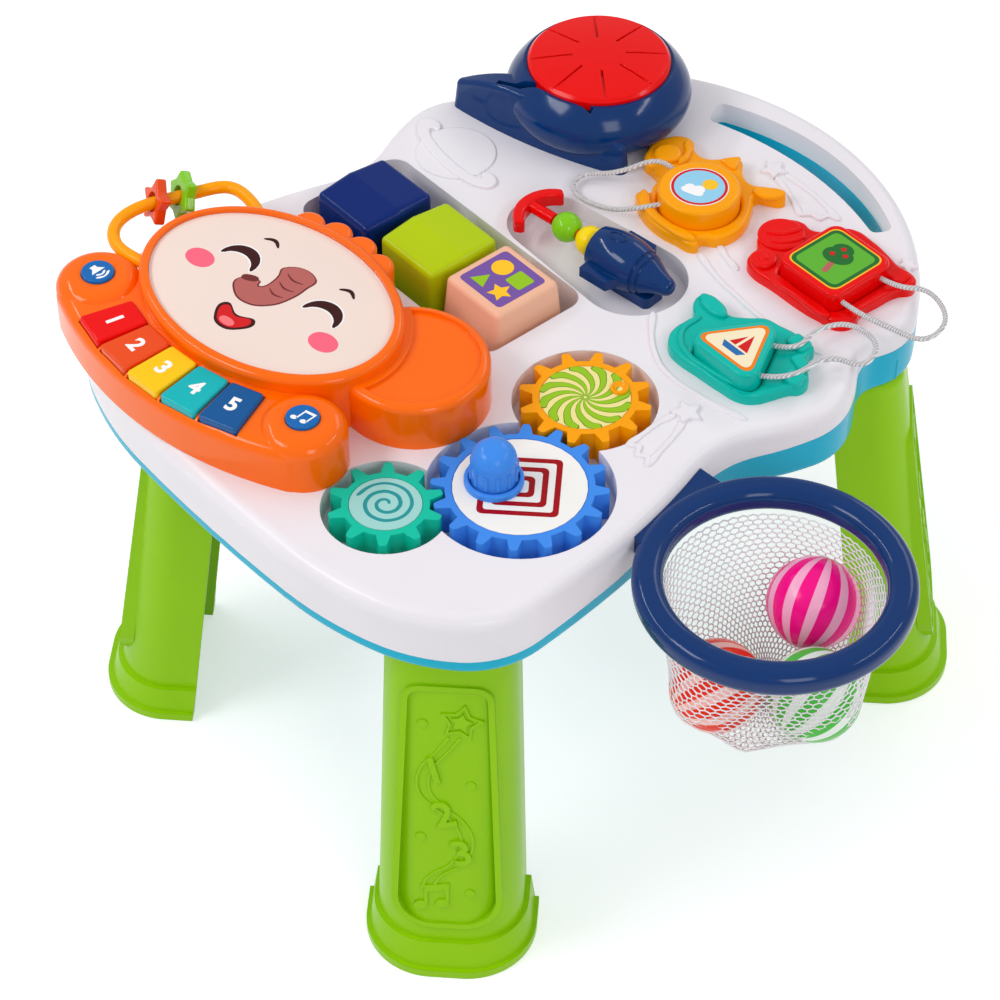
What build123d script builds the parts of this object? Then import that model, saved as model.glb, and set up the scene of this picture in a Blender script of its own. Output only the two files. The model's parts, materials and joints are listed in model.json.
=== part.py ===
"""Activity table for a toddler: a moulded play top on four splayed legs.

Millimetres, +Z up, +X to the child's right, +Y away from the child. The origin is at
the bottom centre of the whole object. Places on the top are given from the middle of
the table's plan, and heights from the deck's surface, through spot().
"""

import math
import os

from build123d import *

os.makedirs("parts", exist_ok=True)

# Table top
deck_height = 315
front_reach = 246
back_reach = 258
corner_reach = 195
waist_reach = 173
lobe_reach = 188
back_radius = 195
back_angle = 55
deck_wall = 2.5
skirt_wall = 3
deck_edge = 9
skirt_front = 34
skirt_back = 15
base_depth = 43
base_wall = 3
base_edge = 5
gap = 0.3
slip = 0.08

# Legs
leg_x_front = 171
leg_x_back = 180
leg_y = 212
leg_splay = 45
leg_width_top = 76
leg_width_foot = 92
leg_depth_top = 46
leg_depth_foot = 55
leg_round_top = 20
leg_round_foot = 36
leg_wall = 3
leg_plug_inset = 8
leg_plug_height = 15
foot_height = 24
foot_flare = 6
foot_lip = 3
foot_lip_height = 6
leg_shoulder = 5
panel_ring_top = 54
panel_ring_foot = 70
panel_ring_height = 190
panel_ring_middle = 0.47
panel_ring_band = 4
panel_ring_proud = 1.5
panel_ring_deep = 8

# Gears
gear_module = 6
gear_tall = 20
gear_top = 2.5
gear_addendum = 3.6
gear_dedendum = 4.6
gear_tooth_share = 0.37
gear_bore = 6
gear_pocket_gap = 4
crank_place = (120.8, -110.6)
crank_teeth = 16
pinwheel_teeth = 12
pinwheel_turn = 112
spiral_teeth = 10
spiral_turn = 240
label_sink = 0.6
gear_web = 2
gear_screw_length = 10
finger_ring_place = (97, -12.5)
finger_ring = 5.5
knob_arm = 15.5
knob_angle = 214
knob_radius = 13.5
knob_height = 29
knob_post = 4
knob_ribs = 12
knob_cup = 17.5
knob_cup_height = 4

# Block bin
bin_x0 = -161
bin_x1 = 22
bin_y0 = -54
bin_y1 = 28
bin_round = 12
bin_depth = 37
block_size = 54
block_draft = 2.5
block_round = 6
block_end_round = 4
block_wall = 2.5
block_places = {"navy_block": (-126, -18), "lime_block": (-67, -15), "peach_block": (-10, -12)}

# Rocket and bead pusher, on a line that is slightly turned on the table
pusher_place = (0, 63)
pusher_height = 5
pusher_turn = 6.4
rocket_tail_x = -5
rocket_nose_x = 55
rocket_tail_radius = 14
rocket_radius = 17
rocket_wall = 2.5
rocket_depth = 14
rocket_groove = 0.9
rocket_grooves = ((31.5, 14.1), (35.5, 12.6))
rocket_window = (10, 7, 1.4)
rocket_well = {(-46, 58): 27, (27, 62): 34}
bead_radius = 9.7
bead_bore = 3
bead_places = {"green_bead": -32, "yellow_bead": -12.3}
handle_x = -62
handle_length = 44
handle_thick = 9
push_travel = 9
rod_radius = 2.92
rod_thick_radius = 4
rod_reach = 20
rocket_hollow_x = 13

# Lift-out pucks and the shapes they sit in
base_thick = 8
base_round = 3.5
puck_seat = 4
puck_tall = 16
puck_gap = 0.5
puck_edge = 2.5
puck_lift = 25
plane_puck = 26
train_puck = (50, 52)
train_puck_round = 8
boat_puck = 36
boat_puck_round = 9
plane_place = (6, 136)
train_place = (110, 152)
boat_place = (128, 54)
cord_radius = 1.6
cord_routes = {
    "airplane": [
        (-13.7, 139.7, 12), (-33.3, 143.4, 18), (-46, 113, 10), (-66, 102, 5), (-60, 85.8, 3),
        (-38, 87.5, 3), (-14, 94, 10), (-2.5, 117.9, 12),
    ],
    "train": [
        (131, 167, 12), (147, 167, 13), (158, 187, 8), (184, 178, 5), (188, 152, 4),
        (164, 144, 6), (148, 134, 12), (131, 134, 12),
    ],
    "boat": [
        (133, 73.3, 12), (148.6, 82.3, 12), (140, 105, 10), (150, 125, 12), (174, 128, 9),
        (181, 108, 5), (160, 97, 9), (164.4, 59, 13), (147, 49, 12),
    ],
}

# Round planet housing with its dial
planet_place = (-110, 155)
planet_foot = 46
planet_waist = 60
planet_waist_height = 17
planet_shoulder = 48.5
planet_height = 41
planet_wall = 3
brim_front = ((-190, 87), (-112, 99), (-39, 129))
brim_back = ((-39, 129), (-114, 129), (-190, 87))
brim_turn = 16.2
brim_middle = 35
brim_tip = 6
brim_round = 4
brim_tip_round = 6
brim_taper = 6
brim_slot = ((-146, 100), (-115, 109), (-76, 119))
brim_slot_width = 4
dial_radius = 46
dial_tall = 8
dial_proud = 3.5
dial_dome = 3
dial_boss = 7

# Hoop, net and balls
hoop_place = (261, -42)
hoop_top = -4
hoop_outer = 81
hoop_band = 18
hoop_tall = 17
hoop_round = 7
hoop_low_round = 3
hoop_pin = 3
hoop_pin_x = 166
hoop_pin_places = (-62, -34)
net_radius = 67
net_wall = 1
net_depth = 104
net_corner = 29.5
ball_radius = 27.5
ball_ring = 37.9
ball_lift = 20
ball_wall = 1.2
balls = {"red_ball": (-95, -74.8), "green_ball": (0, -74.8), "pink_ball": (95, -58)}

# Hand piano with its oval front
panel_place = (-72, -140)
panel_turn = 4.9
panel_wall = 2.5
panel_body = 30
panel_body_round = 8
panel_drum = 40
panel_drum_round = 4
panel_back_thick = 3
board_posts = ((-38, -34), (38, -34), (-38, -6), (38, -6))
battery_place = (-12, 30)
battery_bay = (62, 32)
battery_radius = 7.1
battery_length = 50.5
panel_screw_places = {(-72, -20): 33, (72, -20): 33, (-62, 28): 33, (112, 40): 28}
face_x = 86
face_y = 60
face_rim = 6
face_thick = 2.5
ear_place = (95, 25)
ear_x = 47
ear_y = 45
ear_tall = 32
ear_round = 5
ear_rim = 6
ear_dish = 2
lobe_place = (90, -58)
lobe_radius = 26
lobe_rise = 34
lobe_round = 10
key_arc = 191
key_centre = 106
key_pitch = 26.4
key_width = 24.4
key_taper = 2
key_length = 34
key_top = 33
key_tall = 13
key_travel = 2.5
button_radius = 10
button_proud = 2
button_travel = 2
board_height = 8
ring_tube = 4
ring_height = 30
ring_points = (
    (-50, 42), (-80, 55), (-98, 54), (-108, 38), (-116, 20), (-123, -2), (-119, -20), (-106, -30),
    (-90, -31), (-72, -28),
)
ruff_places = ((-34, 62), (-15, 67), (5, 68), (24, 64))
ruff_radius = 10.5
ruff_tall = 36
ruff_round = 3.5
speaker_place = (48, 20)
panel_screw_length = 14
bead_thick = 7
bead_reach = 16
bead_edge = 1.5
bead_lean = 22
ring_beads = {"star_bead": (0.53, 5, 0.58), "flower_bead": (0.44, 6, 0.74)}
ring_bead_bore = 6.3

# Screws
screw_radius = 1.5
screw_head = 3
screw_head_tall = 2
screw_sink = 7
screw_length = 14
boss_radius = 5
boss_meet = 32

foot_round = leg_round_foot + foot_flare + foot_lip / 2
foot_corner = foot_round + (leg_width_foot / 2 - 2 * leg_round_foot) * math.sqrt(0.5)
table_x = (leg_x_back + foot_corner - hoop_place[0] - hoop_outer) / 2
table_y = (max(front_reach, leg_y + foot_corner) - back_reach) / 2


def spot(x, y, z=0, turn=0):
    """A level plane at a place on the table, z above the deck, turned about its own centre."""
    return Plane((table_x + x, table_y + y, deck_height + z)).rotated((0, 0, turn))


def upright(x, y, z=0, turn=0):
    """An upright plane: its x runs level at the turn, its y runs up."""
    along = Vector(1, 0, 0).rotate(Axis.Z, turn)
    return Plane((table_x + x, table_y + y, deck_height + z), along, along.cross(Vector(0, 0, 1)))


def panel_spot(x, y, z=0, turn=0):
    """A level plane at a place on the hand piano, which lies slightly turned on the deck."""
    place = Vector(x, y, 0).rotate(Axis.Z, panel_turn)
    return spot(panel_place[0] + place.X, panel_place[1] + place.Y, z, panel_turn + turn)


def panel_table_place(place):
    """A place on the hand piano, given as a place on the table."""
    turned = Vector(*place).rotate(Axis.Z, panel_turn)
    return panel_place[0] + turned.X, panel_place[1] + turned.Y


def save(name, part):
    """Labels a finished piece and writes it."""
    part.label = name
    export_step(part, f"parts/{name}.step")


# Plan of the table: bowed front, waisted sides with two lobes, arched back
back_centre = (0, back_reach - back_radius)
side_points = [
    (0, -front_reach),
    (corner_reach - 125, -front_reach + 2),
    (corner_reach - 60, -front_reach + 15),
    (corner_reach - 17, -front_reach + 42),
    (corner_reach, -front_reach + 86),
    (waist_reach + 16, -95),
    (waist_reach - 1, -20),
    (waist_reach + 3, 28),
    (lobe_reach + 1, 62),
    (lobe_reach - 2, 92),
    (lobe_reach - 16, 112),
    (lobe_reach - 24, 126),
    (lobe_reach - 23.5, 140),
]
with BuildSketch() as table_plan:
    with BuildLine():
        arch = CenterArc(back_centre, back_radius, 90 - back_angle, back_angle)
        heading = (1, 0)
        for start, end in zip(side_points, side_points[1:] + [arch @ 0]):
            arc = TangentArc(start, end, tangent=heading)
            heading = arc % 1
        mirror(about=Plane.YZ)
    make_face()

with BuildSketch() as inside_plan:
    add(table_plan.sketch)
    offset(amount=-skirt_wall)

# Carry handle slot along the arched back
with BuildSketch() as slot_plan:
    with BuildLine():
        near = ThreePointArc((-58, back_reach - 54), (15, back_reach - 41), (92, back_reach - 54))
        far = ThreePointArc((-66, back_reach - 36), (8, back_reach - 18), (98, back_reach - 42))
        Line(near @ 0, far @ 0)
        Line(near @ 1, far @ 1)
    make_face()
    fillet(slot_plan.vertices(), 5)

with BuildSketch() as slot_wall_plan:
    add(slot_plan.sketch)
    offset(amount=skirt_wall)

# Where the white top meets the coloured base: low in front, high from the lobes back
with BuildSketch() as below_parting:
    with BuildLine():
        Polyline(
            (-front_reach - 20, -skirt_front),
            (-95, -skirt_front + 3),
            (90, -skirt_back),
            (back_reach + 20, -skirt_back),
            (back_reach + 20, -base_depth - 40),
            (-front_reach - 20, -base_depth - 40),
            close=True,
        )
    make_face()
    fillet(below_parting.vertices().group_by(Axis.Y)[-1], 30)


def gear_radius(teeth):
    return gear_module * teeth / 2


def beside_crank(teeth, turn):
    """The place of a gear that meshes with the crank gear, in the direction of the turn."""
    apart = gear_radius(crank_teeth) + gear_radius(teeth)
    at = math.radians(turn)
    return crank_place[0] + apart * math.cos(at), crank_place[1] + apart * math.sin(at)


def meshed(teeth, turn):
    """The angle of a tooth that puts a gap of this gear on the crank gear's nearest tooth."""
    pitch = 360 / crank_teeth
    ahead = (-turn + pitch / 2) % pitch - pitch / 2
    return turn + 180 - ahead * crank_teeth / teeth + 180 / teeth


screw_places = [
    (x * side, y)
    for side in (-1, 1)
    for x, y in ((68, -229), (165, -172), (150, 45), (52, 185))
]

gears = {
    "crank_gear": (crank_place, crank_teeth, 0),
    "pinwheel_gear": (
        beside_crank(pinwheel_teeth, pinwheel_turn),
        pinwheel_teeth,
        meshed(pinwheel_teeth, pinwheel_turn),
    ),
    "spiral_gear": (
        beside_crank(spiral_teeth, spiral_turn),
        spiral_teeth,
        meshed(spiral_teeth, spiral_turn),
    ),
}
gear_floor = gear_top - gear_tall - gap
pocket_plans = {}
for name, (place, teeth, phase) in gears.items():
    pocket_plans[name] = (place, gear_radius(teeth) + gear_addendum + gear_pocket_gap)

with BuildSketch() as gear_pocket:
    for place, radius in pocket_plans.values():
        with Locations(place):
            Circle(radius)

with BuildSketch() as bin_pocket:
    with Locations(((bin_x0 + bin_x1) / 2, (bin_y0 + bin_y1) / 2)):
        RectangleRounded(bin_x1 - bin_x0, bin_y1 - bin_y0, bin_round)

with BuildSketch() as rocket_pocket:
    for place, radius in rocket_well.items():
        with Locations(place):
            Circle(radius)
    make_hull()

wells = {
    "gear": (gear_pocket, -gear_floor),
    "bin": (bin_pocket, bin_depth),
    "rocket": (rocket_pocket, rocket_depth),
}

# White play top with its wells and gear posts
with BuildPart() as deck_shell:
    with BuildSketch(spot(0, 0, -skirt_front - 1)):
        add(table_plan.sketch)
    extrude(amount=skirt_front + 1, clean=False)
    fillet(deck_shell.edges().group_by(Axis.Z)[-1], deck_edge)
    with BuildSketch(spot(0, 0, -deck_wall)):
        add(inside_plan.sketch)
    extrude(amount=-skirt_front, mode=Mode.SUBTRACT)
    with BuildSketch(spot(0, 0, -skirt_front - 1)):
        add(slot_wall_plan.sketch)
    extrude(amount=skirt_front)
    with BuildSketch(upright(-300, 0, 0, 90)):
        add(below_parting.sketch)
    extrude(amount=600, mode=Mode.SUBTRACT)
    with BuildSketch(spot(0, 0, -skirt_front - 1)):
        add(slot_plan.sketch)
    extrude(amount=skirt_front + 1, mode=Mode.SUBTRACT)
    for pocket, depth in wells.values():
        with BuildSketch(spot(0, 0, -depth - deck_wall)):
            add(pocket.sketch)
            offset(amount=deck_wall)
        extrude(amount=depth)
    for pocket, depth in wells.values():
        with BuildSketch(spot(0, 0, -depth)):
            add(pocket.sketch)
        extrude(amount=depth + 5, mode=Mode.SUBTRACT)
    for place, teeth, phase in gears.values():
        with BuildSketch(spot(*place, gear_floor)):
            Circle(gear_bore - slip)
        extrude(amount=gear_tall - 5)
        with BuildSketch(spot(*place, gear_floor)):
            Circle(screw_radius + slip / 2)
        extrude(amount=gear_tall, mode=Mode.SUBTRACT)
    for place in screw_places:
        with BuildSketch(spot(*place, -boss_meet)):
            Circle(boss_radius)
        extrude(amount=boss_meet - deck_wall + 1)
        with BuildSketch(spot(*place, -boss_meet)):
            Circle(screw_radius + slip / 2)
        extrude(amount=boss_meet - deck_wall - 6, mode=Mode.SUBTRACT)
    for y in hoop_pin_places:
        with BuildSketch(upright(hoop_pin_x, y, hoop_top - hoop_tall / 2, 90)):
            Circle(hoop_pin + slip / 2)
        extrude(amount=40, mode=Mode.SUBTRACT)
save("deck_shell", deck_shell.part)

with BuildSketch() as above_parting:
    with Locations((0, -base_depth / 2)):
        Rectangle(2 * back_reach + 80, base_depth + 40)
    add(below_parting.sketch, mode=Mode.SUBTRACT)

leg_top_inset = (leg_splay + leg_depth_top / 2) * math.sqrt(0.5)
corners = {
    "leg_front_right": (1, -1, -45),
    "leg_back_right": (1, 1, 45),
    "leg_back_left": (-1, 1, 135),
    "leg_front_left": (-1, -1, -135),
}


def leg_corner(side_x, side_y, inset=0):
    """The place of a leg's outer face on the floor, moved in along both table axes."""
    leg_x = leg_x_front if side_y < 0 else leg_x_back
    return side_x * (leg_x - inset), side_y * (leg_y - inset)


plug_width = leg_width_top - 2 * leg_plug_inset
plug_depth = leg_depth_top - 2 * leg_plug_inset
# Coloured base under the top, with a socket for each leg and a boss for each screw
with BuildPart() as base_shell:
    with BuildSketch(spot(0, 0, -base_depth)):
        add(table_plan.sketch)
    extrude(amount=base_depth, clean=False)
    fillet(base_shell.edges().group_by(Axis.Z)[0], base_edge)
    with BuildSketch(spot(0, 0, -base_depth + base_wall)):
        add(inside_plan.sketch)
    extrude(amount=base_depth, mode=Mode.SUBTRACT)
    with BuildSketch(spot(0, 0, -base_depth)):
        add(slot_wall_plan.sketch)
    extrude(amount=base_depth)
    for side_x, side_y, turn in corners.values():
        place = leg_corner(side_x, side_y, leg_top_inset)
        with BuildSketch(spot(*place, -base_depth + base_wall, turn)):
            Rectangle(plug_depth + 5, plug_width + 5)
        extrude(amount=leg_plug_height)
    for place in screw_places:
        with BuildSketch(spot(*place, -base_depth + base_wall)):
            Circle(boss_radius + 1)
        extrude(amount=base_depth - base_wall - boss_meet)
    with BuildSketch(upright(-300, 0, 0, 90)):
        add(above_parting.sketch)
    extrude(amount=600, mode=Mode.SUBTRACT)
    with BuildSketch(spot(0, 0, -base_depth)):
        add(slot_plan.sketch)
    extrude(amount=base_depth, mode=Mode.SUBTRACT)
    for side_x, side_y, turn in corners.values():
        place = leg_corner(side_x, side_y, leg_top_inset)
        with BuildSketch(spot(*place, -base_depth, turn)):
            Rectangle(plug_depth + 2 * gap, plug_width + 2 * gap)
        extrude(amount=leg_plug_height + gap, mode=Mode.SUBTRACT)
    for place in screw_places:
        with BuildSketch(spot(*place, -base_depth)):
            Circle(screw_head + gap)
        extrude(amount=screw_sink, mode=Mode.SUBTRACT)
        with BuildSketch(spot(*place, -base_depth)):
            Circle(screw_radius + slip / 2)
        extrude(amount=base_depth, mode=Mode.SUBTRACT)
save("base_shell", base_shell.part)


def leg(side_x, side_y, turn):
    """A hollow leg, open towards the middle of the table, with a plug on top and a flared foot."""
    fall = deck_height - base_depth
    spare = 2 * leg_depth_foot
    out_x = side_x * math.sqrt(0.5)
    out_y = side_y * math.sqrt(0.5)

    def across(height, inward, turned=turn):
        """A level plane at a height above the floor, on the leg's own line, moved inward."""
        lean = leg_splay * height / fall
        place = leg_corner(side_x, side_y, (lean + inward) * math.sqrt(0.5))
        return spot(*place, height - deck_height, turned)

    def width(height):
        return leg_width_foot + (leg_width_top - leg_width_foot) * height / fall

    def rounding(height):
        return leg_round_foot + (leg_round_top - leg_round_foot) * height / fall

    def depth(height):
        return leg_depth_foot + (leg_depth_top - leg_depth_foot) * height / fall

    with BuildPart() as shape:
        for height in (0, fall):
            with BuildSketch(across(height, spare / 2)):
                RectangleRounded(spare, width(height), rounding(height))
        loft(ruled=True)
        fillet(shape.edges().group_by(Axis.Z)[-1], leg_shoulder)
        for height, flare in ((0, foot_flare), (foot_height, foot_flare / 2)):
            with BuildSketch(across(height, spare / 2)):
                RectangleRounded(
                    spare + 2 * flare, width(height) + 2 * flare, rounding(height) + flare
                )
        loft(ruled=True)
        with BuildSketch(across(0, spare / 2)):
            RectangleRounded(
                spare + 2 * foot_flare + foot_lip,
                width(0) + 2 * foot_flare + foot_lip,
                foot_round,
            )
        extrude(amount=foot_lip_height)
        face = across(fall * panel_ring_middle, 0)
        front = Plane(face.origin, Vector(-out_y, out_x, 0), Vector(out_x, out_y, leg_splay / fall))
        with BuildSketch(front.offset(-panel_ring_deep)) as panel_ring:
            Polygon(
                (-panel_ring_foot / 2, -panel_ring_height / 2),
                (panel_ring_foot / 2, -panel_ring_height / 2),
                (panel_ring_top / 2, panel_ring_height / 2),
                (-panel_ring_top / 2, panel_ring_height / 2),
                align=None,
            )
            fillet(panel_ring.vertices().group_by(Axis.Y)[0], panel_ring_foot * 0.36)
            fillet(panel_ring.vertices().group_by(Axis.Y)[-1], panel_ring_top * 0.2)
            offset(amount=-panel_ring_band, mode=Mode.SUBTRACT)
        extrude(amount=panel_ring_deep + panel_ring_proud)
        for height in (0, fall - leg_wall):
            with BuildSketch(across(height, leg_wall + spare / 2)):
                RectangleRounded(spare, width(height) - 2 * leg_wall, rounding(height) - leg_wall)
        loft(ruled=True, mode=Mode.SUBTRACT)
        for height in (0, fall):
            with BuildSketch(across(height, depth(height) + spare / 2)):
                Rectangle(spare, 2 * leg_width_foot)
        loft(ruled=True, mode=Mode.SUBTRACT)
        with BuildSketch(across(fall, depth(fall) / 2)):
            Rectangle(plug_depth, plug_width)
        extrude(amount=leg_plug_height)
    return shape.part


for name, (side_x, side_y, turn) in corners.items():
    save(name, leg(side_x, side_y, turn))



def screw(place, height, length, heads=screw_head):
    """A pan-head screw with its head against the height; a negative length points down."""
    with BuildPart() as shape:
        with BuildSketch(spot(*place, height)):
            Circle(screw_radius)
        extrude(amount=length)
        with BuildSketch(spot(*place, height)):
            Circle(heads)
        extrude(amount=-math.copysign(screw_head_tall, length))
    return shape.part


def group(name, pieces):
    """Saves like pieces under one name, each its own solid."""
    save(name, Compound(children=[piece.solids()[0] for piece in pieces]))


# Self-tapping screws that hold the top on its base
group(
    "shell_screws",
    [screw(place, -base_depth + screw_sink, screw_length) for place in screw_places],
)

# Screws that hold the gears on their posts, their heads under the gears' printed labels
gear_screw_height = gear_floor + gear_tall - 5 + gear_web + gap
group(
    "gear_screws",
    [
        screw(place, gear_screw_height, -gear_screw_length)
        for place, teeth, phase in gears.values()
    ],
)


def toothed(teeth, phase):
    """Plan of a gear with rounded teeth that narrow outwards."""
    radius = gear_radius(teeth)
    root = radius - gear_dedendum
    tip = radius + gear_addendum
    half = math.pi * gear_module * gear_tooth_share / 2
    with BuildSketch() as plan:
        Circle(root + 0.01)
        with PolarLocations(0, teeth, start_angle=phase):
            Polygon((root - 4, half * 1.5), (tip, half * 0.62), (tip, -half * 0.62), (root - 4, -half * 1.5), align=None)
        fillet(plan.vertices().filter_by(lambda v: math.hypot(v.X, v.Y) > tip - 0.5), half * 0.5)
    return plan.sketch


def gear_part(place, teeth, phase):
    """A gear with a blind bore for its post, a sunk screw seat and a sunk label seat."""
    bottom = gear_top - gear_tall
    with BuildPart() as shape:
        with BuildSketch(spot(*place, bottom)):
            add(toothed(teeth, phase))
        extrude(amount=gear_tall)
        with BuildSketch(spot(*place, bottom)):
            Circle(gear_bore)
        extrude(amount=gear_tall - 5, mode=Mode.SUBTRACT)
        with BuildSketch(spot(*place, bottom)):
            Circle(screw_radius + gap)
        extrude(amount=gear_tall, mode=Mode.SUBTRACT)
        with BuildSketch(spot(*place, gear_screw_height)):
            Circle(screw_head + gap)
        extrude(amount=gear_tall, mode=Mode.SUBTRACT)
        with BuildSketch(spot(*place, gear_top)):
            Circle(gear_radius(teeth) - gear_dedendum - 4)
        extrude(amount=-label_sink, mode=Mode.SUBTRACT)
    return shape.part


knob_place = (
    crank_place[0] + knob_arm * math.cos(math.radians(knob_angle)),
    crank_place[1] + knob_arm * math.sin(math.radians(knob_angle)),
)

# Crank gear with a cup and a post for its knob
with BuildPart() as crank_gear:
    add(gear_part(*gears["crank_gear"]))
    with BuildSketch(spot(*knob_place, gear_top - label_sink)):
        Circle(knob_cup)
    extrude(amount=label_sink + knob_cup_height)
    fillet(crank_gear.faces().sort_by(Axis.Z)[-1].edges(), 1.5)
    with BuildSketch(spot(*knob_place, gear_top)):
        Circle(knob_cup - 2.5)
    extrude(amount=knob_cup_height + 1, mode=Mode.SUBTRACT)
    with BuildSketch(spot(*knob_place, gear_top)):
        Circle(knob_post)
    extrude(amount=knob_height - 10)
save("crank_gear", crank_gear.part)
with BuildPart() as pinwheel_gear:
    add(gear_part(*gears["pinwheel_gear"]))
    with BuildSketch(spot(*finger_ring_place, gear_top - label_sink)):
        Circle(finger_ring)
    extrude(amount=label_sink + 1.6)
    fillet(pinwheel_gear.edges().group_by(Axis.Z)[-1], 0.8)
    with Locations((table_x + finger_ring_place[0], table_y + finger_ring_place[1], deck_height + 7)):
        Sphere(5, mode=Mode.SUBTRACT)
save("pinwheel_gear", pinwheel_gear.part)
save("spiral_gear", gear_part(*gears["spiral_gear"]))

# Domed knob that turns on the crank gear's post
with BuildPart() as crank_knob:
    with BuildSketch(spot(*knob_place, gear_top + gap)):
        Circle(knob_radius)
    extrude(amount=knob_height - gap)
    fillet(crank_knob.edges().group_by(Axis.Z)[-1], knob_radius - 2)
    with BuildSketch(spot(*knob_place, gear_top + knob_cup_height + 1)):
        with PolarLocations(knob_radius - 0.3, knob_ribs):
            Circle(1.4)
    extrude(amount=knob_height * 0.34)
    with BuildSketch(spot(*knob_place, gear_top + gap)):
        Circle(knob_post + slip)
    extrude(amount=knob_height - 10, mode=Mode.SUBTRACT)
save("crank_knob", crank_knob.part)


def pusher_spot(x, y=0, z=0):
    """A level plane on the pusher's line, z above the deck."""
    place = Vector(x, y, 0).rotate(Axis.Z, pusher_turn)
    return spot(pusher_place[0] + place.X, pusher_place[1] + place.Y, z, pusher_turn)


def cross(x):
    """An upright plane across the pusher's line, looking along it."""
    return pusher_spot(x, 0, pusher_height) * Plane.YZ


# Sliding pusher: a bowed handle on a stem and a thinner rod that carries the beads
with BuildPart() as plunger:
    with BuildSketch(pusher_spot(handle_x, 0, pusher_height - handle_thick / 2)):
        with BuildLine():
            outer = ThreePointArc((6, -handle_length / 2), (-7, 0), (6, handle_length / 2))
            inner = ThreePointArc((12, -handle_length / 2 + 4), (1, 0), (12, handle_length / 2 - 4))
            Line(outer @ 0, inner @ 0)
            Line(outer @ 1, inner @ 1)
        make_face()
    extrude(amount=handle_thick)
    fillet(plunger.edges().filter_by(Axis.Z), 2)
    fillet(plunger.edges().group_by(Axis.Z)[-1], 2)
    with BuildSketch(cross(handle_x + 1)):
        Circle(rod_thick_radius)
    extrude(amount=bead_places["green_bead"] - bead_radius - handle_x - 1 - gap)
    with BuildSketch(cross(handle_x + 2)):
        Circle(rod_radius)
    extrude(amount=rod_reach - handle_x - 2)
save("plunger", plunger.part)

pusher_line = pusher_spot(0, 0, pusher_height)
pusher_axis = Axis(pusher_line.origin, pusher_line.x_dir)
pusher_section = Plane(pusher_line.origin, pusher_line.x_dir, -pusher_line.y_dir)
for name, x in bead_places.items():
    end = math.sqrt(bead_radius**2 - bead_bore**2)
    with BuildPart() as bead:
        with BuildSketch(pusher_section):
            with BuildLine():
                ThreePointArc((x - end, bead_bore), (x, bead_radius), (x + end, bead_bore))
                Line((x + end, bead_bore), (x - end, bead_bore))
            make_face()
        revolve(axis=pusher_axis)
    save(name, bead.part)


def rocket_section(extra):
    """Half section of the rocket's body, grown outwards."""
    with BuildSketch(pusher_section) as section:
        with BuildLine():
            Line((rocket_tail_x, 0), (rocket_tail_x, rocket_tail_radius + extra))
            Spline(
                (rocket_tail_x, rocket_tail_radius + extra),
                (rocket_tail_x + 17, rocket_radius + extra),
                (rocket_nose_x - 22, rocket_radius * 0.8 + extra),
                (rocket_nose_x - 6, rocket_radius * 0.38 + extra),
                (rocket_nose_x, 0),
                tangents=((1, 0.3), (0, -1)),
            )
            Line((rocket_nose_x, 0), (rocket_tail_x, 0))
        make_face()
        if not extra:
            with Locations(*rocket_grooves):
                Circle(rocket_groove, mode=Mode.SUBTRACT)
    return section.sketch


# Raised oval window on the rocket's top
with BuildPart() as window:
    add(rocket_section(0.7))
    revolve(axis=pusher_axis)
    with BuildSketch(pusher_spot(rocket_window[0], 0, pusher_height + rocket_radius / 2)):
        Ellipse(rocket_window[1], rocket_window[1] * 0.6)
        Ellipse(rocket_window[1] - rocket_window[2], rocket_window[1] * 0.6 - rocket_window[2], mode=Mode.SUBTRACT)
    extrude(amount=rocket_radius, mode=Mode.INTERSECT)

# Rocket over the rod's end, open at the tail so that the beads can slide in
with BuildPart() as rocket:
    add(rocket_section(0))
    revolve(axis=pusher_axis)
    add(window.part)
    for side_y in (1, -1):
        with BuildSketch(pusher_spot(0, 0, pusher_height - 6)):
            Polygon(
                (-1, 10 * side_y),
                (0, 24 * side_y),
                (21, 24 * side_y),
                (26, 12 * side_y),
                align=None,
            )
        extrude(amount=7)
    with BuildSketch(pusher_spot(22, 0, -rocket_depth)):
        RectangleRounded(40, 18, 4)
    extrude(amount=rocket_depth - 6)
    with BuildSketch(cross(rocket_tail_x)):
        Circle(rocket_tail_radius - rocket_wall)
    extrude(amount=rocket_hollow_x - rocket_tail_x, mode=Mode.SUBTRACT)
    with BuildSketch(cross(rocket_tail_x)):
        Circle(rod_radius + slip)
    extrude(amount=rod_reach + push_travel + 2 - rocket_tail_x, mode=Mode.SUBTRACT)
save("rocket", rocket.part)

outlines = {
    "airplane": [
        (-53, 147), (-50, 174), (-38, 176), (-26, 163), (-16, 174), (-11, 185), (0, 179), (6, 173),
        (16, 171), (33, 184), (44, 178), (42, 169), (26, 166), (40, 150), (48, 127), (43, 99),
        (-9, 96), (-24, 107), (-20, 116), (-24, 122), (-28, 133), (-38, 130),
    ],
    "train": [
        (52, 142), (48, 153), (54, 165), (64, 171), (80, 167), (78, 180), (87, 190), (104, 193),
        (122, 191), (131, 185), (144, 185), (156, 173), (148, 152), (149, 138), (155, 125),
        (147, 113), (76, 112), (66, 121), (64, 130),
    ],
    "boat": [
        (72, 72), (74, 80), (84, 81), (100, 78), (108, 90), (124, 97), (134, 95), (150, 95),
        (160, 84), (162, 72), (173, 63), (171, 52), (166, 37), (152, 29), (98, 26), (86, 36),
        (81, 52), (84, 64),
    ],
}


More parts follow.
